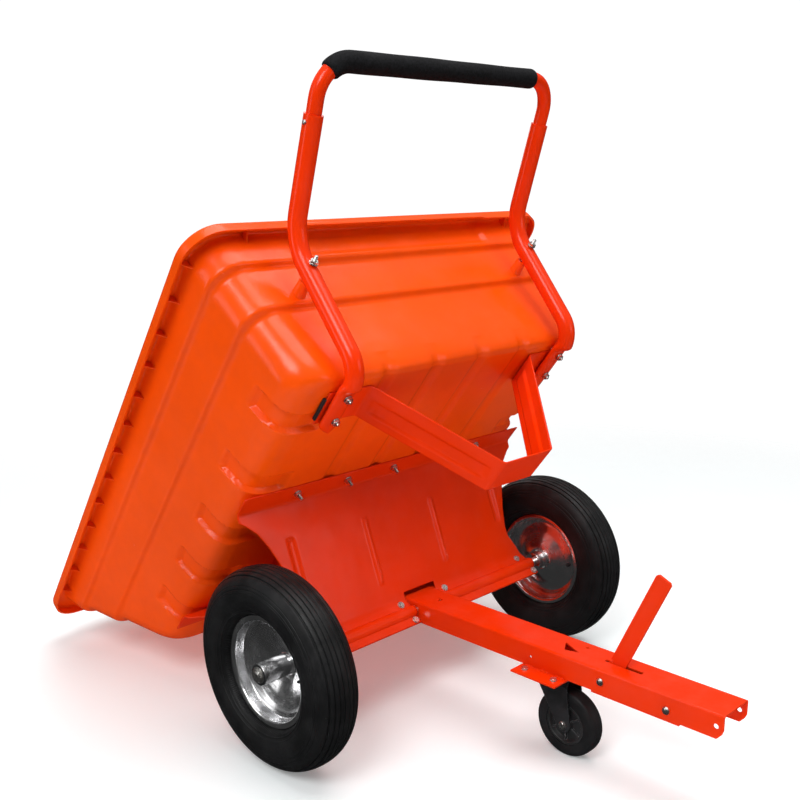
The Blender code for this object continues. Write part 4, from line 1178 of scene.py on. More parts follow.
    def fin(self, corners: Sequence[Sequence[float]], place: float, lengthwise: bool, side: float) -> Shape:
        """One gusset under the rim.

        Args:
            corners: (distance from the rim's edge, height) points.
            place: where it stands along its edge of the rim.
            lengthwise: whether it is on a long side.
            side: 1 for the left or the front, -1 for the right or the rear.

        Returns:
            The gusset.
        """
        half = 0.0013
        if lengthwise:
            outline = [(side * (self.half_width - inset) * (1.0 + self.taper * place), height)
                       for inset, height in corners]
            return prism(outline, -place - half, -place + half, "Y")
        edge = self.front if side > 0.0 else -self.rear
        outline = [(-side * (edge - inset), height) for inset, height in corners]
        return prism(outline, place - half, place + half, "X")

    def gussets(self) -> Shape:
        """Every gusset under the rim."""
        side_fin = [(0.0042, 0.5805), (0.0042, 0.5720), (0.0160, 0.5680), (0.0300, 0.5580), (0.0285, 0.5805)]
        rear_fin = [(0.0042, 0.5805), (0.0042, 0.5660), (0.0200, 0.5600), (0.0420, 0.5540), (0.0285, 0.5805)]
        fins = []
        for place in np.linspace(-0.500, 0.500, 13):
            fins += [self.fin(side_fin, float(place), True, side) for side in (-1.0, 1.0)]
        for place in np.linspace(-0.360, 0.360, 9):
            if abs(place) > self.front_fins_from:
                fins.append(self.fin(side_fin, float(place), False, 1.0))
            fins.append(self.fin(rear_fin, float(place), False, -1.0))
        return joined(fins)

    def build(self) -> None:
        """Make the tub's pieces."""
        matrix = self.workshop.tilted.matrix
        shell = make_piece("tub_shell", self.shell(), 50.0, matrix)
        self.workshop.finish(shell, "tub", Body.TUB, "tub")
        gussets = make_piece("rim_gussets", self.gussets(), 30.0, matrix)
        soften(gussets, 0.0005, 2)
        self.workshop.finish(gussets, "tub", Body.TUB)
        # painted shade: dark rubber strips under the tub floor beside the bracket stand in for the shadow in the gap
        # there
        shade_strips = []
        for side in (-1.0, 1.0):
            edges = sorted((side * 0.3370, side * 0.3420))
            outline = round_loop([(edges[0], 0.2550), (edges[1], 0.2550), (edges[1], 0.2618), (edges[0], 0.2618)],
                                 0.0012, 3)
            shade_strips.append(prism(outline, -0.452, -0.400, "Y"))
        shade_strip_piece = make_piece("gap_shade_strips", joined(shade_strips), 40.0, matrix)
        self.workshop.finish(shade_strip_piece, "valve", Body.TUB)
        x, y, z = self.boss_place
        shapes = [revolved(np.array(self.boss), 40, Vector((side * x, y, z)), Vector((0, -1, 0)), True)
                  for side in (-1.0, 1.0)]
        bosses = make_piece("wall_bosses", joined(shapes), 35.0, matrix)
        self.workshop.finish(bosses, "tub", Body.TUB)


# ---------------------------------------------------------------- pressed steel on the tub


@dataclass
class PressedSteel:
    """The two support plates and the V-shaped latch bracket, with their pressed ribs."""

    workshop: Workshop
    sheet: float = 0.0025
    plate_top: float = 0.2617
    flange: float = 0.048
    foot: float = -0.030
    ridge: float = 0.0109
    notch: float = 0.0465
    notch_top: float = 0.044
    edge: tuple[tuple[float, float], ...] = (
        (0.352, -0.040), (0.352, 0.004), (0.346, 0.022), (0.335, 0.048), (0.318, 0.074), (0.316, 0.092),
        (0.325, 0.130), (0.338, 0.165), (0.352, 0.195), (0.370, 0.222), (0.392, 0.240), (0.404, 0.247),
        (0.404, 0.275))

    def plate_path(self, bend: float) -> np.ndarray:
        """Middle line of a plate's section as (forward, up) points."""
        face = GAP + self.sheet / 2.0
        round_axle = self.ridge + self.sheet / 2.0
        start = math.degrees(math.asin(face / round_axle))
        angles = np.radians(np.linspace(-90.0 + start + 10.0, 90.0 - start - 10.0, 13))
        arc = [(round_axle * math.cos(a), round_axle * math.sin(a)) for a in angles]
        lower = round_axle * math.cos(math.radians(start)) + 0.0004
        level = self.plate_top - self.sheet / 2.0
        web = round_corners([(face, lower), (face, 0.031), (bend, level), (bend + self.flange, level)],
                            [0.010, 0.006], 6)
        path = np.vstack([[(face, self.foot), (face, -lower)], arc, web])
        return fill_in(path, 0.0026)

    def plate_relief(self, x: np.ndarray, w: np.ndarray) -> np.ndarray:
        """How far a plate's web is pressed outward at each point."""
        depth = np.zeros_like(x)
        for middle in (-0.10, 0.10):
            depth += 0.0032 * hump(x, middle, 0.0018, 0.0078) * plateau(w, 0.078, 0.188, 0.010)
        for middle in (-0.297, 0.297):
            depth -= 0.0038 * hump(x, middle, 0.0040, 0.0120) * plateau(w, 0.118, 0.192, 0.012)
        return depth

    def build_plate(self, node: str, direction: float) -> None:
        """Make one support plate.

        Args:
            node: the CAD plate.
            direction: 1 for the front plate, -1 for the rear one.
        """
        low, high = self.workshop.tilted.local_box(node)
        reach = max(-low[1], high[1])
        path = self.plate_path(float(reach) - self.flange)
        widths = np.interp(path[:, 1], [w for _, w in self.edge], [x for x, _ in self.edge])
        flat = path[:, 1] > self.plate_top - self.sheet
        widths[flat] = self.edge[-1][0]
        tangent = np.gradient(path, axis=0)
        normal = np.stack([tangent[:, 1], -tangent[:, 0]], 1)
        normal /= np.linalg.norm(normal, axis=1, keepdims=True)
        outer = np.linspace(0.0, 1.0, 84)
        middle = np.linspace(-1.0, 1.0, 13)[1:-1]
        rows = []
        for (forward, up), side, facing in zip(path, widths, normal):
            left = -side + outer * (side - self.notch)
            x = np.concatenate([left, middle * self.notch, -left[::-1]])
            depth = self.plate_relief(x, np.full_like(x, up))
            if flat[len(rows)]:
                depth = depth * 0.0
            rows.append(np.stack([x, -direction * (forward + facing[0] * depth), up + facing[1] * depth], 1))
        grid = np.array(rows)
        columns = grid.shape[1]
        faces = []
        for face in grid_faces(len(rows), columns, False, False):
            row, column = divmod(face[0], columns)
            in_notch = len(outer) - 1 <= column < len(outer) + len(middle)
            if in_notch and path[row + 1, 1] <= self.notch_top:
                continue
            faces.append(face)
        used = sorted({index for face in faces for index in face})
        order = {old: new for new, old in enumerate(used)}
        shape = (grid.reshape(-1, 3)[used], [tuple(order[index] for index in face) for face in faces])
        plate = make_piece(node + "_pressing", shape, 50.0, self.workshop.tilted.matrix)
        thicken(plate, self.sheet)
        self.workshop.finish(plate, "coat", Body.TUB, node)

    def build_bracket(self) -> None:
        """Make the V bracket with a channel pressed along each leg."""
        low, high = self.workshop.tilted.local_box("latch_bracket")
        sheet = 0.003
        back, front = -float(high[1]), -float(low[1])
        level = float(high[2]) - sheet / 2.0
        foot = float(low[2]) + sheet / 2.0
        half = [(0.070, foot), (0.232, level), (float(high[0]), level)]
        path = fill_in(round_corners([(-x, w) for x, w in half[::-1]] + half, 0.006, 6), 0.004)
        tangent = np.gradient(path, axis=0)
        normal = np.stack([-tangent[:, 1], tangent[:, 0]], 1)
        normal /= np.linalg.norm(normal, axis=1, keepdims=True)
        forward = np.linspace(back, front, 40)
        middle = (back + front) / 2.0
        leg = plateau(np.abs(path[:, 0]), 0.086, 0.214, 0.010)
        rows = []
        for (x, w), facing, share in zip(path, normal, leg):
            depth = 0.0042 * share * hump(forward, middle - 0.004, 0.011, 0.019)
            rows.append(np.stack([x + facing[0] * depth, -forward, w + facing[1] * depth], 1))
        grid = np.array(rows)
        shape = (grid.reshape(-1, 3), grid_faces(grid.shape[0], grid.shape[1], False, False))
        bracket = make_piece("latch_bracket_pressing", shape, 50.0, self.workshop.tilted.matrix)
        thicken(bracket, sheet)
        self.workshop.finish(bracket, "coat", Body.TUB, "latch_bracket")

    def build(self) -> None:
        """Make the plates and the bracket."""
        self.build_plate("front_support_plate", 1.0)
        self.build_plate("rear_support_plate", -1.0)
        self.build_bracket()


# ---------------------------------------------------------------- handle


@dataclass
class Handle:
    """Two lower tubes with flattened feet, the upper bar, its screws and the foam grip."""

    workshop: Workshop
    tube_radius: float = 0.0175
    bar_radius: float = 0.01395
    bend: tuple[float, float] = (0.058, 0.105)
    bar_bend: tuple[float, float] = (0.062, 0.062)
    crest: float = 0.088
    grip_end: float = 0.244
    grip_radius: float = 0.0194
    foot_flat: float = 0.477
    foot_round: float = 0.500
    press: float = 0.42
    lap: float = 0.060
    spread: float = 0.308
    bend_steps: int = 18

    def tube_corners(self, x: float) -> list[Vector]:
        """Corners of a lower tube's middle line, in the tub's frame."""
        low = self.workshop.tilted.local_box("tube_bolt_left_rear")[1][2] - 0.004 - 0.004
        height = float(low) - 0.0003 - 0.0003 - 0.003 - self.tube_radius
        return [Vector((x, -0.375, height)), Vector((x, -0.526, height)), Vector((x, -0.594, 0.508)),
                Vector((x, -0.802, 0.587))]

    @staticmethod
    def curve(points: Sequence[Vector], radii: Sequence[float], steps: int) -> np.ndarray:
        """A path through the points with a true arc of the given radius at each inner corner."""
        path = [np.array(points[0])]
        for before, corner, after, radius in zip(points, points[1:], points[2:], radii):
            back, on = (before - corner).normalized(), (after - corner).normalized()
            half = back.angle(on) / 2.0
            reach = radius / math.tan(half)
            centre = corner + (back + on).normalized() * radius / math.sin(half)
            start, end = corner + back * reach - centre, corner + on * reach - centre
            swing = start.angle(end)
            for t in np.linspace(0.0, 1.0, steps + 1):
                spoke = start * math.sin((1.0 - t) * swing) + end * math.sin(t * swing)
                path.append(np.array(centre + spoke / math.sin(swing)))
        path.append(np.array(points[-1]))
        return np.array(path)

    def build_tube(self, label: str) -> None:
        """Make one lower tube with its flattened, rounded foot."""
        low, high = self.workshop.tilted.local_box("handle_tube_" + label)
        x = math.copysign(self.spread, float(low[0] + high[0]))
        corners = self.tube_corners(x)
        path = fill_in(self.curve(corners, self.bend, self.bend_steps), 0.005)
        ends = np.array([path[0] + (path[1] - path[0]) * t for t in (0.0, 0.02, 0.08, 0.25, 0.55)])
        path = np.vstack([ends, path[1:]])
        points, faces = swept(path, np.full(len(path), self.tube_radius), 36)
        top = corners[0].z + self.tube_radius
        from_end = -points[:, 1] - 0.375
        press = np.clip((self.foot_round + points[:, 1]) / (self.foot_round - self.foot_flat), 0.0, 1.0)
        press = press * press * (3.0 - 2.0 * press) * (points[:, 2] < top + 0.001)
        points[:, 2] = top - (top - points[:, 2]) * (1.0 - self.press * press)
        nose = np.sqrt(np.clip(1.0 - (1.0 - np.clip(from_end / 0.020, 0.0, 1.0)) ** 2, 0.02, 1.0))
        points[:, 0] = x + (points[:, 0] - x) * (1.0 + 0.20 * press) * nose
        tube = make_piece("handle_tube_%s_bent" % label, (points, faces), 50.0, self.workshop.tilted.matrix)
        self.workshop.finish(tube, "coat", Body.TUB, "handle_tube_" + label)

    def build_bar(self) -> None:
        """Make the upper bar and its foam grip."""
        corners = self.tube_corners(self.spread)
        along = (corners[3] - corners[2]).normalized()
        inside, crest = corners[3] - along * self.lap, corners[3] + along * self.crest
        mirror = Matrix.Scale(-1.0, 3, (1.0, 0.0, 0.0))
        path = self.curve([inside, crest, mirror @ crest, mirror @ inside], self.bar_bend, self.bend_steps)
        start = self.bend_steps + 2
        wrapped = path[start:start + self.bend_steps // 2 + 1]
        grip_line = np.vstack([[(self.grip_end, crest.y, crest.z)], wrapped])
        path = fill_in(path, 0.02)
        bar = make_piece("handle_bar_bent", swept(path, np.full(len(path), self.bar_radius), 36), 50.0,
                         self.workshop.tilted.matrix)
        self.workshop.finish(bar, "coat", Body.TUB, "handle_bar")

        stations = np.concatenate([[-1.0, -0.998, -0.994, -0.985], np.linspace(-0.97, 0.97, 110),
                                   [0.985, 0.994, 0.998, 1.0]])
        rounding = np.sqrt(np.clip(1.0 - ((np.abs(stations) - 0.975) / 0.025).clip(0.0, 1.0) ** 2, 0.0, 1.0))
        swell = 0.965 + 0.020 * np.sin(stations * 3.1 + 0.6) + 0.012 * np.sin(stations * 11.0)
        swell = swell + 0.015 * (1.0 - stations) / 2.0
        outer = self.grip_radius * np.minimum(swell, 0.998) * (0.82 + 0.18 * rounding)
        run = np.concatenate([[0.0], np.cumsum(np.linalg.norm(np.diff(grip_line, axis=0), axis=1))])
        spots = (stations + 1.0) / 2.0 * run[-1]
        line = np.stack([np.interp(spots, run, grip_line[:, axis]) for axis in range(3)], 1)
        grip = make_piece("foam_grip_sleeve", swept(line, outer, 56), 50.0, self.workshop.tilted.matrix)
        self.workshop.finish(grip, "foam", Body.TUB, "foam_grip")

    def build_screw(self, label: str) -> None:
        """Make the cross-head screw that holds the bar in one lower tube."""
        node = "joint_screw_" + label
        low, high = self.workshop.tilted.local_box(node)
        side = math.copysign(1.0, float(low[0]))
        outer = float(high[0]) if side > 0.0 else float(low[0])
        centre = Vector((outer, *((low + high) / 2.0)[1:]))
        profile = [(0.0, 0.0016), (0.0004, 0.0032), (0.0012, 0.0042), (0.0025, 0.0045), (0.0025, 0.0022),
                   (0.0052, 0.0022)]
        screw = make_piece(node + "_detail", revolved(np.array(profile), 24, centre, Vector((-side, 0, 0)), False),
                           32.0, self.workshop.tilted.matrix)
        self.workshop.finish(screw, "bright", Body.TUB, node)

    def build(self) -> None:
        """Make the whole handle."""
        for label in ("right", "left"):
            self.build_tube(label)
            self.build_screw(label)
        self.build_bar()


# ---------------------------------------------------------------- road wheels


@dataclass
class RoadWheel:
    """A pneumatic tyre on a pressed rim, with hub, dust seal, nut and valve."""

    workshop: Workshop
    label: str
    side: float
    body: Body
    section: tuple[tuple[float, float], ...] = (
        (0.0240, 0.1120), (0.0310, 0.1136), (0.0385, 0.1185), (0.0450, 0.1290), (0.0488, 0.1430), (0.0490, 0.1560),
        (0.0468, 0.1690), (0.0420, 0.1800), (0.0350, 0.1885), (0.0250, 0.1950), (0.0130, 0.1984), (0.0000, 0.1994))
    grooves: tuple[float, ...] = (0.0058, 0.0155, 0.0250, 0.0340)
    valve_length: float = 0.85

    @property
    def centre(self) -> Vector:
        """Middle of the wheel."""
        low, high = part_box("tyre_" + self.label)
        return (low + high) / 2.0

    @property
    def outward(self) -> Vector:
        """Direction from the cart to the wheel along the axle."""
        return Vector((self.side, 0.0, 0.0))

    def half_section(self) -> np.ndarray:
        """One half of the tyre's outer section, from bead to crown, with its grooves and ridges."""
        curve = fill_in(spline(self.section, 12), 0.0007)
        tangent = np.gradient(curve, axis=0)
        normal = np.stack([tangent[:, 1], -tangent[:, 0]], 1)
        normal /= np.linalg.norm(normal, axis=1, keepdims=True)
        across, radius = curve[:, 0], curve[:, 1]
        lift = np.zeros(len(curve))
        on_tread = radius > 0.178
        for place in self.grooves:
            lift -= 0.0026 * hump(across, place, 0.0006, 0.0016) * on_tread
        for place, height, width in ((0.1225, 0.0011, 0.0016), (0.1292, 0.0006, 0.0010), (0.1655, -0.0009, 0.0014),
                                     (0.1725, -0.0007, 0.0010), (0.1600, 0.0004, 0.0010)):
            lift += height * hump(radius, place, width * 0.4, width) * (~on_tread)
        return curve + normal * lift[:, None]

    def build_tyre(self) -> None:
        """Make the tyre."""
        half = self.half_section()
        bead = [(0.0200, 0.1023), (0.0215, 0.1050)]
        right = np.vstack([bead, half])
        left = right[:-1][::-1] * (-1.0, 1.0)
        profile = np.vstack([right, left])
        tyre = make_piece("tyre_%s_tread" % self.label, revolved(profile, 168, self.centre, self.outward, True), 60.0)
        wrap_uv(tyre, self.centre, self.outward, 0.2)
        self.workshop.finish(tyre, "tyre", self.body, "tyre_" + self.label)

    def build_rim(self) -> None:
        """Make the pressed rim with its rolled edges, dish, ribs and hub tube."""
        corners = [
            (0.0280, 0.1110), (0.0255, 0.1110), (0.0225, 0.1045), (0.0215, 0.1013), (-0.0215, 0.1013),
            (-0.0225, 0.1045), (-0.0255, 0.1110), (-0.0280, 0.1110), (-0.0270, 0.1020), (-0.0235, 0.0988),
            (-0.0010, 0.0988), (-0.0020, 0.0930), (-0.0075, 0.0860), (-0.0115, 0.0640), (-0.0205, 0.0420),
            (-0.0250, 0.0300), (-0.0250, 0.0219), (-0.0220, 0.0219), (-0.0220, 0.0305), (-0.0175, 0.0440),
            (-0.0085, 0.0660), (-0.0045, 0.0845), (0.0010, 0.0910), (0.0025, 0.0988), (0.0235, 0.0988),
            (0.0270, 0.1020)]
        profile = round_loop(corners, 0.0045, 5)
        rim = make_piece("rim_%s_pressing" % self.label, revolved(profile, 120, self.centre, self.outward, True), 60.0)
        wrap_uv(rim, self.centre, self.outward, 0.12)
        self.workshop.finish(rim, "rim", self.body, "rim_" + self.label)
        hub = [(-0.0520, 0.0103), (-0.0520, 0.0205), (-0.0510, 0.0214), (0.0420, 0.0214), (0.0429, 0.0208),
               (0.0429, 0.0203), (0.0410, 0.0201), (0.0410, 0.0103)]
        tube = make_piece("hub_%s_tube" % self.label, revolved(np.array(hub), 56, self.centre, self.outward, True))
        wrap_uv(tube, self.centre, self.outward, 0.12)
        self.workshop.finish(tube, "rim", self.body, "hub_" + self.label)
        lip = [(0.0411, 0.0112), (0.0411, 0.0200), (0.0422, 0.0200), (0.0428, 0.0190), (0.0428, 0.0112)]
        ring = revolved(np.array(lip), 48, self.centre, self.outward, True)
        seal = make_piece("dust_seal_" + self.label, ring, 35.0)
        self.workshop.finish(seal, "valve", self.body)

    def build_valve(self) -> None:
        """Make the valve stem with its grommet and knurled cap."""
        low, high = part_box("valve_" + self.label)
        centre = Vector((0.0, *((low + high) / 2.0)[1:]))
        inner = high.x if self.side < 0.0 else low.x
        centre.x = inner
        profile = [(0.0, 0.0030), (0.001, 0.0035), (0.0055, 0.0046), (0.0075, 0.0048), (0.0085, 0.0044),
                   (0.0185, 0.0038), (0.0215, 0.0034), (0.0225, 0.0026)]
        for ridge in range(5):
            start = 0.0228 + ridge * 0.0021
            profile += [(start, 0.0026), (start + 0.0005, 0.0030), (start + 0.0015, 0.0030),
                        (start + 0.0020, 0.0026)]
        profile += [(0.0334, 0.0027), (0.0340, 0.0018)]
        profile = [(along * self.valve_length, radius) for along, radius in profile]
        stem = make_piece("valve_%s_stem" % self.label, revolved(np.array(profile), 28, centre, self.outward, False),
                          35.0)
        self.workshop.finish(stem, "valve", self.body, "valve_" + self.label)

    def build_nut(self) -> None:
        """Make the axle nut and its washer."""
        node = "axle_nut_" + self.label
        low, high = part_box(node)
        inner = low.x if self.side > 0.0 else high.x
        start = Vector((inner, *((low + high) / 2.0)[1:]))
        bore = 0.0104
        washer = np.array([(0.0, bore), (0.0, 0.0160), (0.0004, 0.0164), (0.0011, 0.0164), (0.0015, 0.0158),
                           (0.0015, bore)])
        nut = Fastener(0.0, 0.0, 0.0, 0.0, 0.0, 0.0)
        shapes = [revolved(washer, 40, start, self.outward, True),
                  nut.hexagon(start, self.outward, 0.0016, 0.0066, 0.0138)]
        piece = make_piece(node + "_detail", joined(shapes), 32.0)
        cut(piece, [revolved(np.array([(-0.01, bore), (0.03, bore)]), 32, start, self.outward, False)])
        self.workshop.finish(piece, "bright", Body.CHASSIS, node)

    def build(self) -> None:
        """Make the whole wheel."""
        self.build_tyre()
        self.build_rim()
        self.build_valve()
        self.build_nut()


# ---------------------------------------------------------------- chassis


@dataclass
class Chassis:
    """Axle, drawbar, latch channel, caster plates and the latch pedal."""

    workshop: Workshop
    wall: float = 0.003
    bead: float = 0.0024

    def build_drawbar(self) -> None:
        """Make the drawbar: a folded channel with its slots and holes."""
        low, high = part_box("drawbar")
        axle_low, axle_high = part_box("axle")
        axle_y = (axle_low.y + axle_high.y) / 2.0
        half, top, bottom, wall = high.x, high.z, low.z, self.wall
        outer = round_corners([(-half, bottom), (-half, top), (half, top), (half, bottom)], 0.0050, 6)
        inner = round_corners([(half - wall, bottom), (half - wall, top - wall), (-half + wall, top - wall),
                               (-half + wall, bottom)], 0.0028, 5)
        section = np.vstack([outer, inner])
        bar = make_piece("drawbar_channel", prism(section, low.y, high.y, "Y"), 40.0)
        pivot = (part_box("latch_pivot_bolt")[0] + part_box("latch_pivot_bolt")[1]) / 2.0
        bolt = (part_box("channel_bolt")[0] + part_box("channel_bolt")[1]) / 2.0
        across, up = Vector((1, 0, 0)), Vector((0, 0, 1))

        def hole(centre: Vector, axis: Vector, radius: float, reach: float) -> Shape:
            """A round hole's cutter."""
            return revolved(np.array([(-reach, radius), (reach, radius)]), 28, centre, axis, False)

        front = low.y
        nose = [(front - 0.004, bottom - 0.004), (front + 0.016, bottom - 0.004), (front + 0.010, bottom + 0.002),
                (front + 0.003, bottom + 0.010), (front + 0.0004, bottom + 0.017), (front - 0.004, bottom + 0.017)]
        slot = round_loop([(-0.0044, pivot.y - 0.063), (0.0044, pivot.y - 0.063), (0.0044, pivot.y + 0.017),
                           (-0.0044, pivot.y + 0.017)], 0.003, 4)
        triangle = round_loop([(-0.016, axle_y - 0.372), (-0.008, axle_y - 0.400), (0.013, axle_y - 0.354)], 0.002, 3)
        oval = round_loop([(-0.0065, axle_y - 0.0395), (0.0065, axle_y - 0.0395), (0.0065, axle_y - 0.0325),
                           (-0.0065, axle_y - 0.0325)], 0.0034, 5)
        cut(bar, [
            prism(nose, -0.060, 0.060, "X"),
            prism(slot, top - 0.010, top + 0.010, "Z"),
            prism(triangle, top - 0.010, top + 0.010, "Z"),
            prism(oval, top - 0.010, top + 0.010, "Z"),
            hole(Vector((0.020, axle_y - 0.400, top)), up, 0.0033, 0.010),
            hole(Vector((0.0, axle_y, 0.2)), across, 0.0107, 0.060),
            hole(Vector((0.0, pivot.y, pivot.z)), across, 0.0044, 0.060),
            hole(Vector((0.0, bolt.y, bolt.z)), across, 0.0044, 0.060),
            hole(Vector((0.0, axle_y - 0.702, pivot.z)), across, 0.0050, 0.060),
            hole(Vector((0.0, axle_y - 0.311, 0.196)), across, 0.0028, 0.060),
        ])
        soften(bar, 0.0005, 2)
        self.workshop.finish(bar, "coat", Body.CHASSIS, "drawbar")

    def weld(self, name: str, start: Vector, end: Vector) -> Shape:
        """A weld bead of overlapping ripples between two points.

        Args:
            name: seed word that shifts the ripples.
            start: one end.
            end: the other end.

        Returns:
            The bead.
        """
        length = (end - start).length
        shares = np.linspace(0.0, 1.0, max(12, int(length / 0.0009)))
        shift = sum(ord(letter) for letter in name) % 7
        ripple = 0.86 + 0.14 * np.abs(np.sin(shares * length / 0.0042 * math.pi + shift))
        taper = np.sqrt(np.clip(np.minimum(shares, 1.0 - shares) * length / 0.003, 0.08, 1.0))
        path = np.array([np.array(start) + np.array(end - start) * share for share in shares])
        return swept(path, self.bead * ripple * taper, 14)

    def build_welds(self) -> None:
        """Make the beads that join the caster plate to the drawbar."""
        low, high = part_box("drawbar")
        plate_low, plate_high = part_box("caster_bracket")
        beads = []
        for side, edge in (("left", high.x), ("right", low.x)):
            height = plate_high.z
            out = math.copysign(0.0008, edge)
            for count, y in enumerate(np.linspace(plate_low.y + 0.016, plate_high.y - 0.016, 3)):
                beads.append(self.weld(side + str(count), Vector((edge + out, float(y) - 0.011, height)),
                                       Vector((edge + out, float(y) + 0.011, height))))
        piece = make_piece("drawbar_welds", joined(beads), 60.0)
        self.workshop.finish(piece, "coat", Body.CHASSIS)

    def build(self) -> None:
        """Make the drawbar and dress the parts that keep their CAD shape."""
        self.build_drawbar()
        self.build_welds()
        self.workshop.dress_node("axle", "bright")
        self.workshop.dress_node("latch_channel", "coat", 0.0012)
        self.workshop.dress_node("latch_pedal", "coat", 0.0012)
        self.workshop.dress_node("caster_bracket", "coat", 0.0010)
        self.workshop.dress_node("caster_base_plate", "dark", 0.0009)


# ---------------------------------------------------------------- caster


@dataclass
class Caster:
    """Swivel caster: pressed fork, rubber tyre and moulded core."""

    workshop: Workshop
    seat: float = 0.0427

    def build(self) -> None:
        """Make the caster's pieces."""
        low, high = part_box("caster_tyre")
        centre, axis = (low + high) / 2.0, Vector((1, 0, 0))
        half, radius = (high.x - low.x) / 2.0, (high.z - low.z) / 2.0
        outer = [(half, self.seat + 0.0003), (half, 0.0560), (half - 0.0006, 0.0600), (half - 0.0026, 0.0645),
                 (half - 0.0058, 0.0669), (half - 0.0100, radius - 0.0002), (0.0, radius - 0.0001)]
        curve = spline(outer, 8)
        curve[:, 0] = np.minimum(curve[:, 0], half)
        curve[:, 1] = np.minimum(curve[:, 1], radius)
        profile = np.vstack([curve, curve[:-1][::-1] * (-1.0, 1.0)])
        tyre = make_piece("caster_tyre_tread", revolved(profile, 120, centre, axis, True), 60.0)
        wrap_uv(tyre, centre, axis, radius)
        self.workshop.finish(tyre, "caster_tyre", Body.CASTER, "caster_tyre")

        seat = self.seat
        loop = [(half - 0.001, seat), (half - 0.001, 0.0370), (half - 0.009, 0.0340), (half - 0.009, 0.0140),
                (half + 0.0015, 0.0110), (half + 0.0015, 0.0046), (-half - 0.0015, 0.0046),
                (-half - 0.0015, 0.0110), (-half + 0.009, 0.0140), (-half + 0.009, 0.0340), (-half + 0.001, 0.0370),
                (-half + 0.001, seat)]
        shapes = [revolved(round_loop(loop, 0.0012, 3), 96, centre, axis, True)]
        for k in range(6):
            turn = math.radians(60.0 * k)
            spoke = prism([(-0.0013, 0.0125), (0.0013, 0.0125), (0.0017, 0.0350), (-0.0017, 0.0350)],
                          -half + 0.0045, half - 0.0045, "X")
            matrix = np.array(Matrix.Rotation(turn, 3, "X"))
            shapes.append((spoke[0] @ matrix.T + np.array(centre), spoke[1]))
        core = make_piece("caster_core_moulding", joined(shapes), 40.0)
        wrap_uv(core, centre, axis, radius)
        self.workshop.finish(core, "core", Body.CASTER, "caster_core")
        self.workshop.dress_node("caster_fork", "dark", 0.0008)
        self.workshop.dress_node("caster_kingpin", "bright", 0.0004)


# ---------------------------------------------------------------- studio


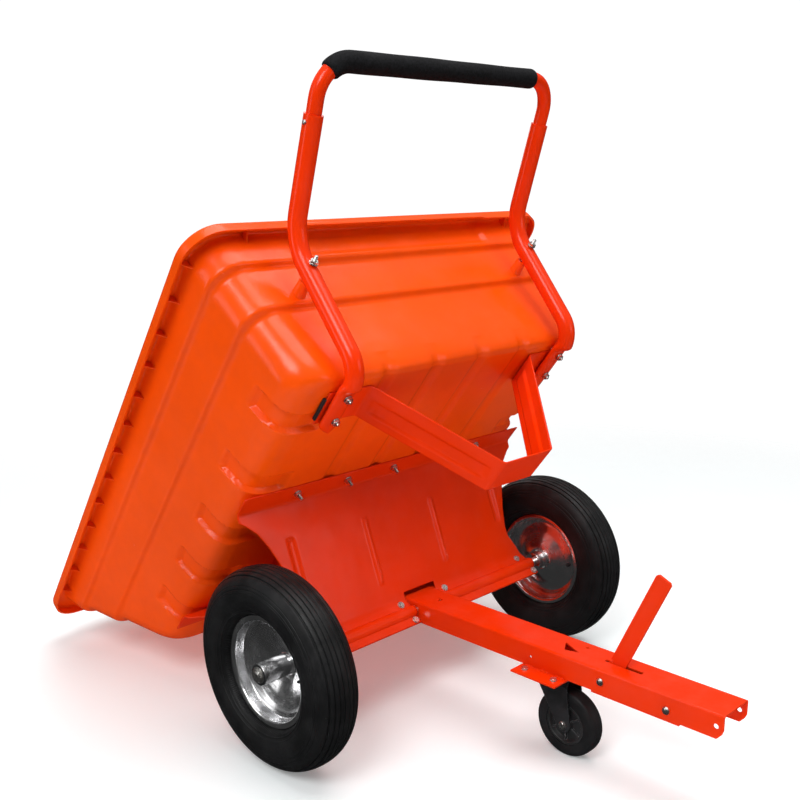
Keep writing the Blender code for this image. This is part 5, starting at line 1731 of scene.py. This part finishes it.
@dataclass
class Studio:
    """Plain pale floor, soft lights and the camera."""

    workshop: Workshop
    azimuth: float = -44.826
    elevation: float = 15.576
    roll: float = -0.628
    lens: float = 46.65
    rise: float = 0.0875
    camera_place: tuple[float, float, float] = (-1.50726, -1.49524, 1.08310)
    lights: dict[str, tuple[tuple[float, float, float], tuple[float, float], float]] = field(default_factory=lambda: {
        "key_softbox": ((-2.3, -1.1, 2.7), (1.3, 1.3), 54.0),
        "top_softbox": ((0.3, -0.4, 3.6), (2.6, 2.6), 92.0),
        "front_fill": ((1.4, -3.4, 1.4), (1.8, 1.4), 14.0),
        "back_fill": ((1.6, 3.0, 2.2), (2.0, 1.6), 22.0),
        "side_strip": ((-3.2, 1.2, 1.4), (0.7, 2.2), 14.0),
    })

    def build_floor(self) -> None:
        """Make the floor."""
        rings = [(0.0, radius) for radius in (0.02, 0.6, 1.4, 3.0, 6.0)]
        shape = revolved(np.array(rings), 96, Vector((0, 0, 0)), Vector((0, 0, 1)), False)
        faces = [face for face in shape[1] if len(face) == 4] + [tuple(range(96))]
        floor = make_piece("studio_floor", (shape[0], faces), 40.0)
        self.workshop.paintbox.paint(floor, "floor")
        floor.visible_glossy = False

    def build_world(self) -> None:
        """Light the scene from all round: white behind, graded in reflections."""
        world = bpy.data.worlds.new("studio_surround")
        bpy.context.scene.world = world
        world.use_nodes = True
        graph = Graph(world.node_tree)
        background = world.node_tree.nodes["Background"]
        direction = graph.add("ShaderNodeTexCoord").outputs["Generated"]
        height = graph.add("ShaderNodeSeparateXYZ", {0: direction}).outputs["Z"]
        level = graph.spread(height, -0.05, 0.75, 0.035, 0.30)
        seen = graph.add("ShaderNodeLightPath").outputs["Is Camera Ray"]
        strength = graph.math("ADD", graph.math("MULTIPLY", seen, 1.05),
                              graph.math("MULTIPLY", graph.math("SUBTRACT", 1.0, seen), level))
        world.node_tree.links.new(strength, background.inputs["Strength"])
        background.inputs["Color"].default_value = (1.0, 1.0, 1.0, 1.0)

    def build_lights(self) -> None:
        """Place the soft lights, each turned to the middle of the cart."""
        low, high = CAD_BOUNDS
        middle = (low + high) / 2.0
        for name, (place, size, power) in self.lights.items():
            data = bpy.data.lights.new(name, "AREA")
            data.shape = "RECTANGLE"
            data.size, data.size_y = size
            data.energy = power
            lamp = bpy.data.objects.new(name, data)
            lamp.location = place
            lamp.rotation_euler = (middle - Vector(place)).to_track_quat("-Z", "Y").to_euler()
            bpy.context.scene.collection.objects.link(lamp)

    def build_camera(self) -> None:
        """Place the camera."""
        a, e, r = (math.radians(value) for value in (self.azimuth, self.elevation, self.roll))
        back = Vector((math.sin(a) * math.cos(e), -math.cos(a) * math.cos(e), math.sin(e)))
        right = Vector((math.cos(a), math.sin(a), 0.0))
        up = back.cross(right)
        right, up = right * math.cos(r) + up * math.sin(r), up * math.cos(r) - right * math.sin(r)
        data = bpy.data.cameras.new("cart_camera")
        data.sensor_width = 36.0
        data.lens = self.lens
        data.shift_y = self.rise
        camera = bpy.data.objects.new("cart_camera", data)
        turn = Matrix((right, up, back)).transposed().to_4x4()
        camera.matrix_world = Matrix.Translation(self.camera_place) @ turn
        bpy.context.scene.collection.objects.link(camera)
        bpy.context.scene.camera = camera

    def build(self) -> None:
        """Make the studio."""
        self.build_camera()
        self.build_floor()
        self.build_world()
        self.build_lights()
        bpy.context.scene.view_settings.view_transform = "Standard"


def main() -> None:
    """Build the cart and its studio."""
    logging.basicConfig(level=logging.INFO, format="%(name)s: %(message)s")
    workshop = Workshop(Paintbox(Effects()), hauling_frame())
    Studio(workshop).build()
    Tub(workshop).build()
    PressedSteel(workshop).build()
    Handle(workshop).build()
    RoadWheel(workshop, "right", -1.0, Body.WHEEL_RIGHT).build()
    RoadWheel(workshop, "left", 1.0, Body.WHEEL_LEFT).build()
    Chassis(workshop).build()
    Caster(workshop).build()
    FastenerKit(workshop).build()


if __name__ == "__main__":
    main()
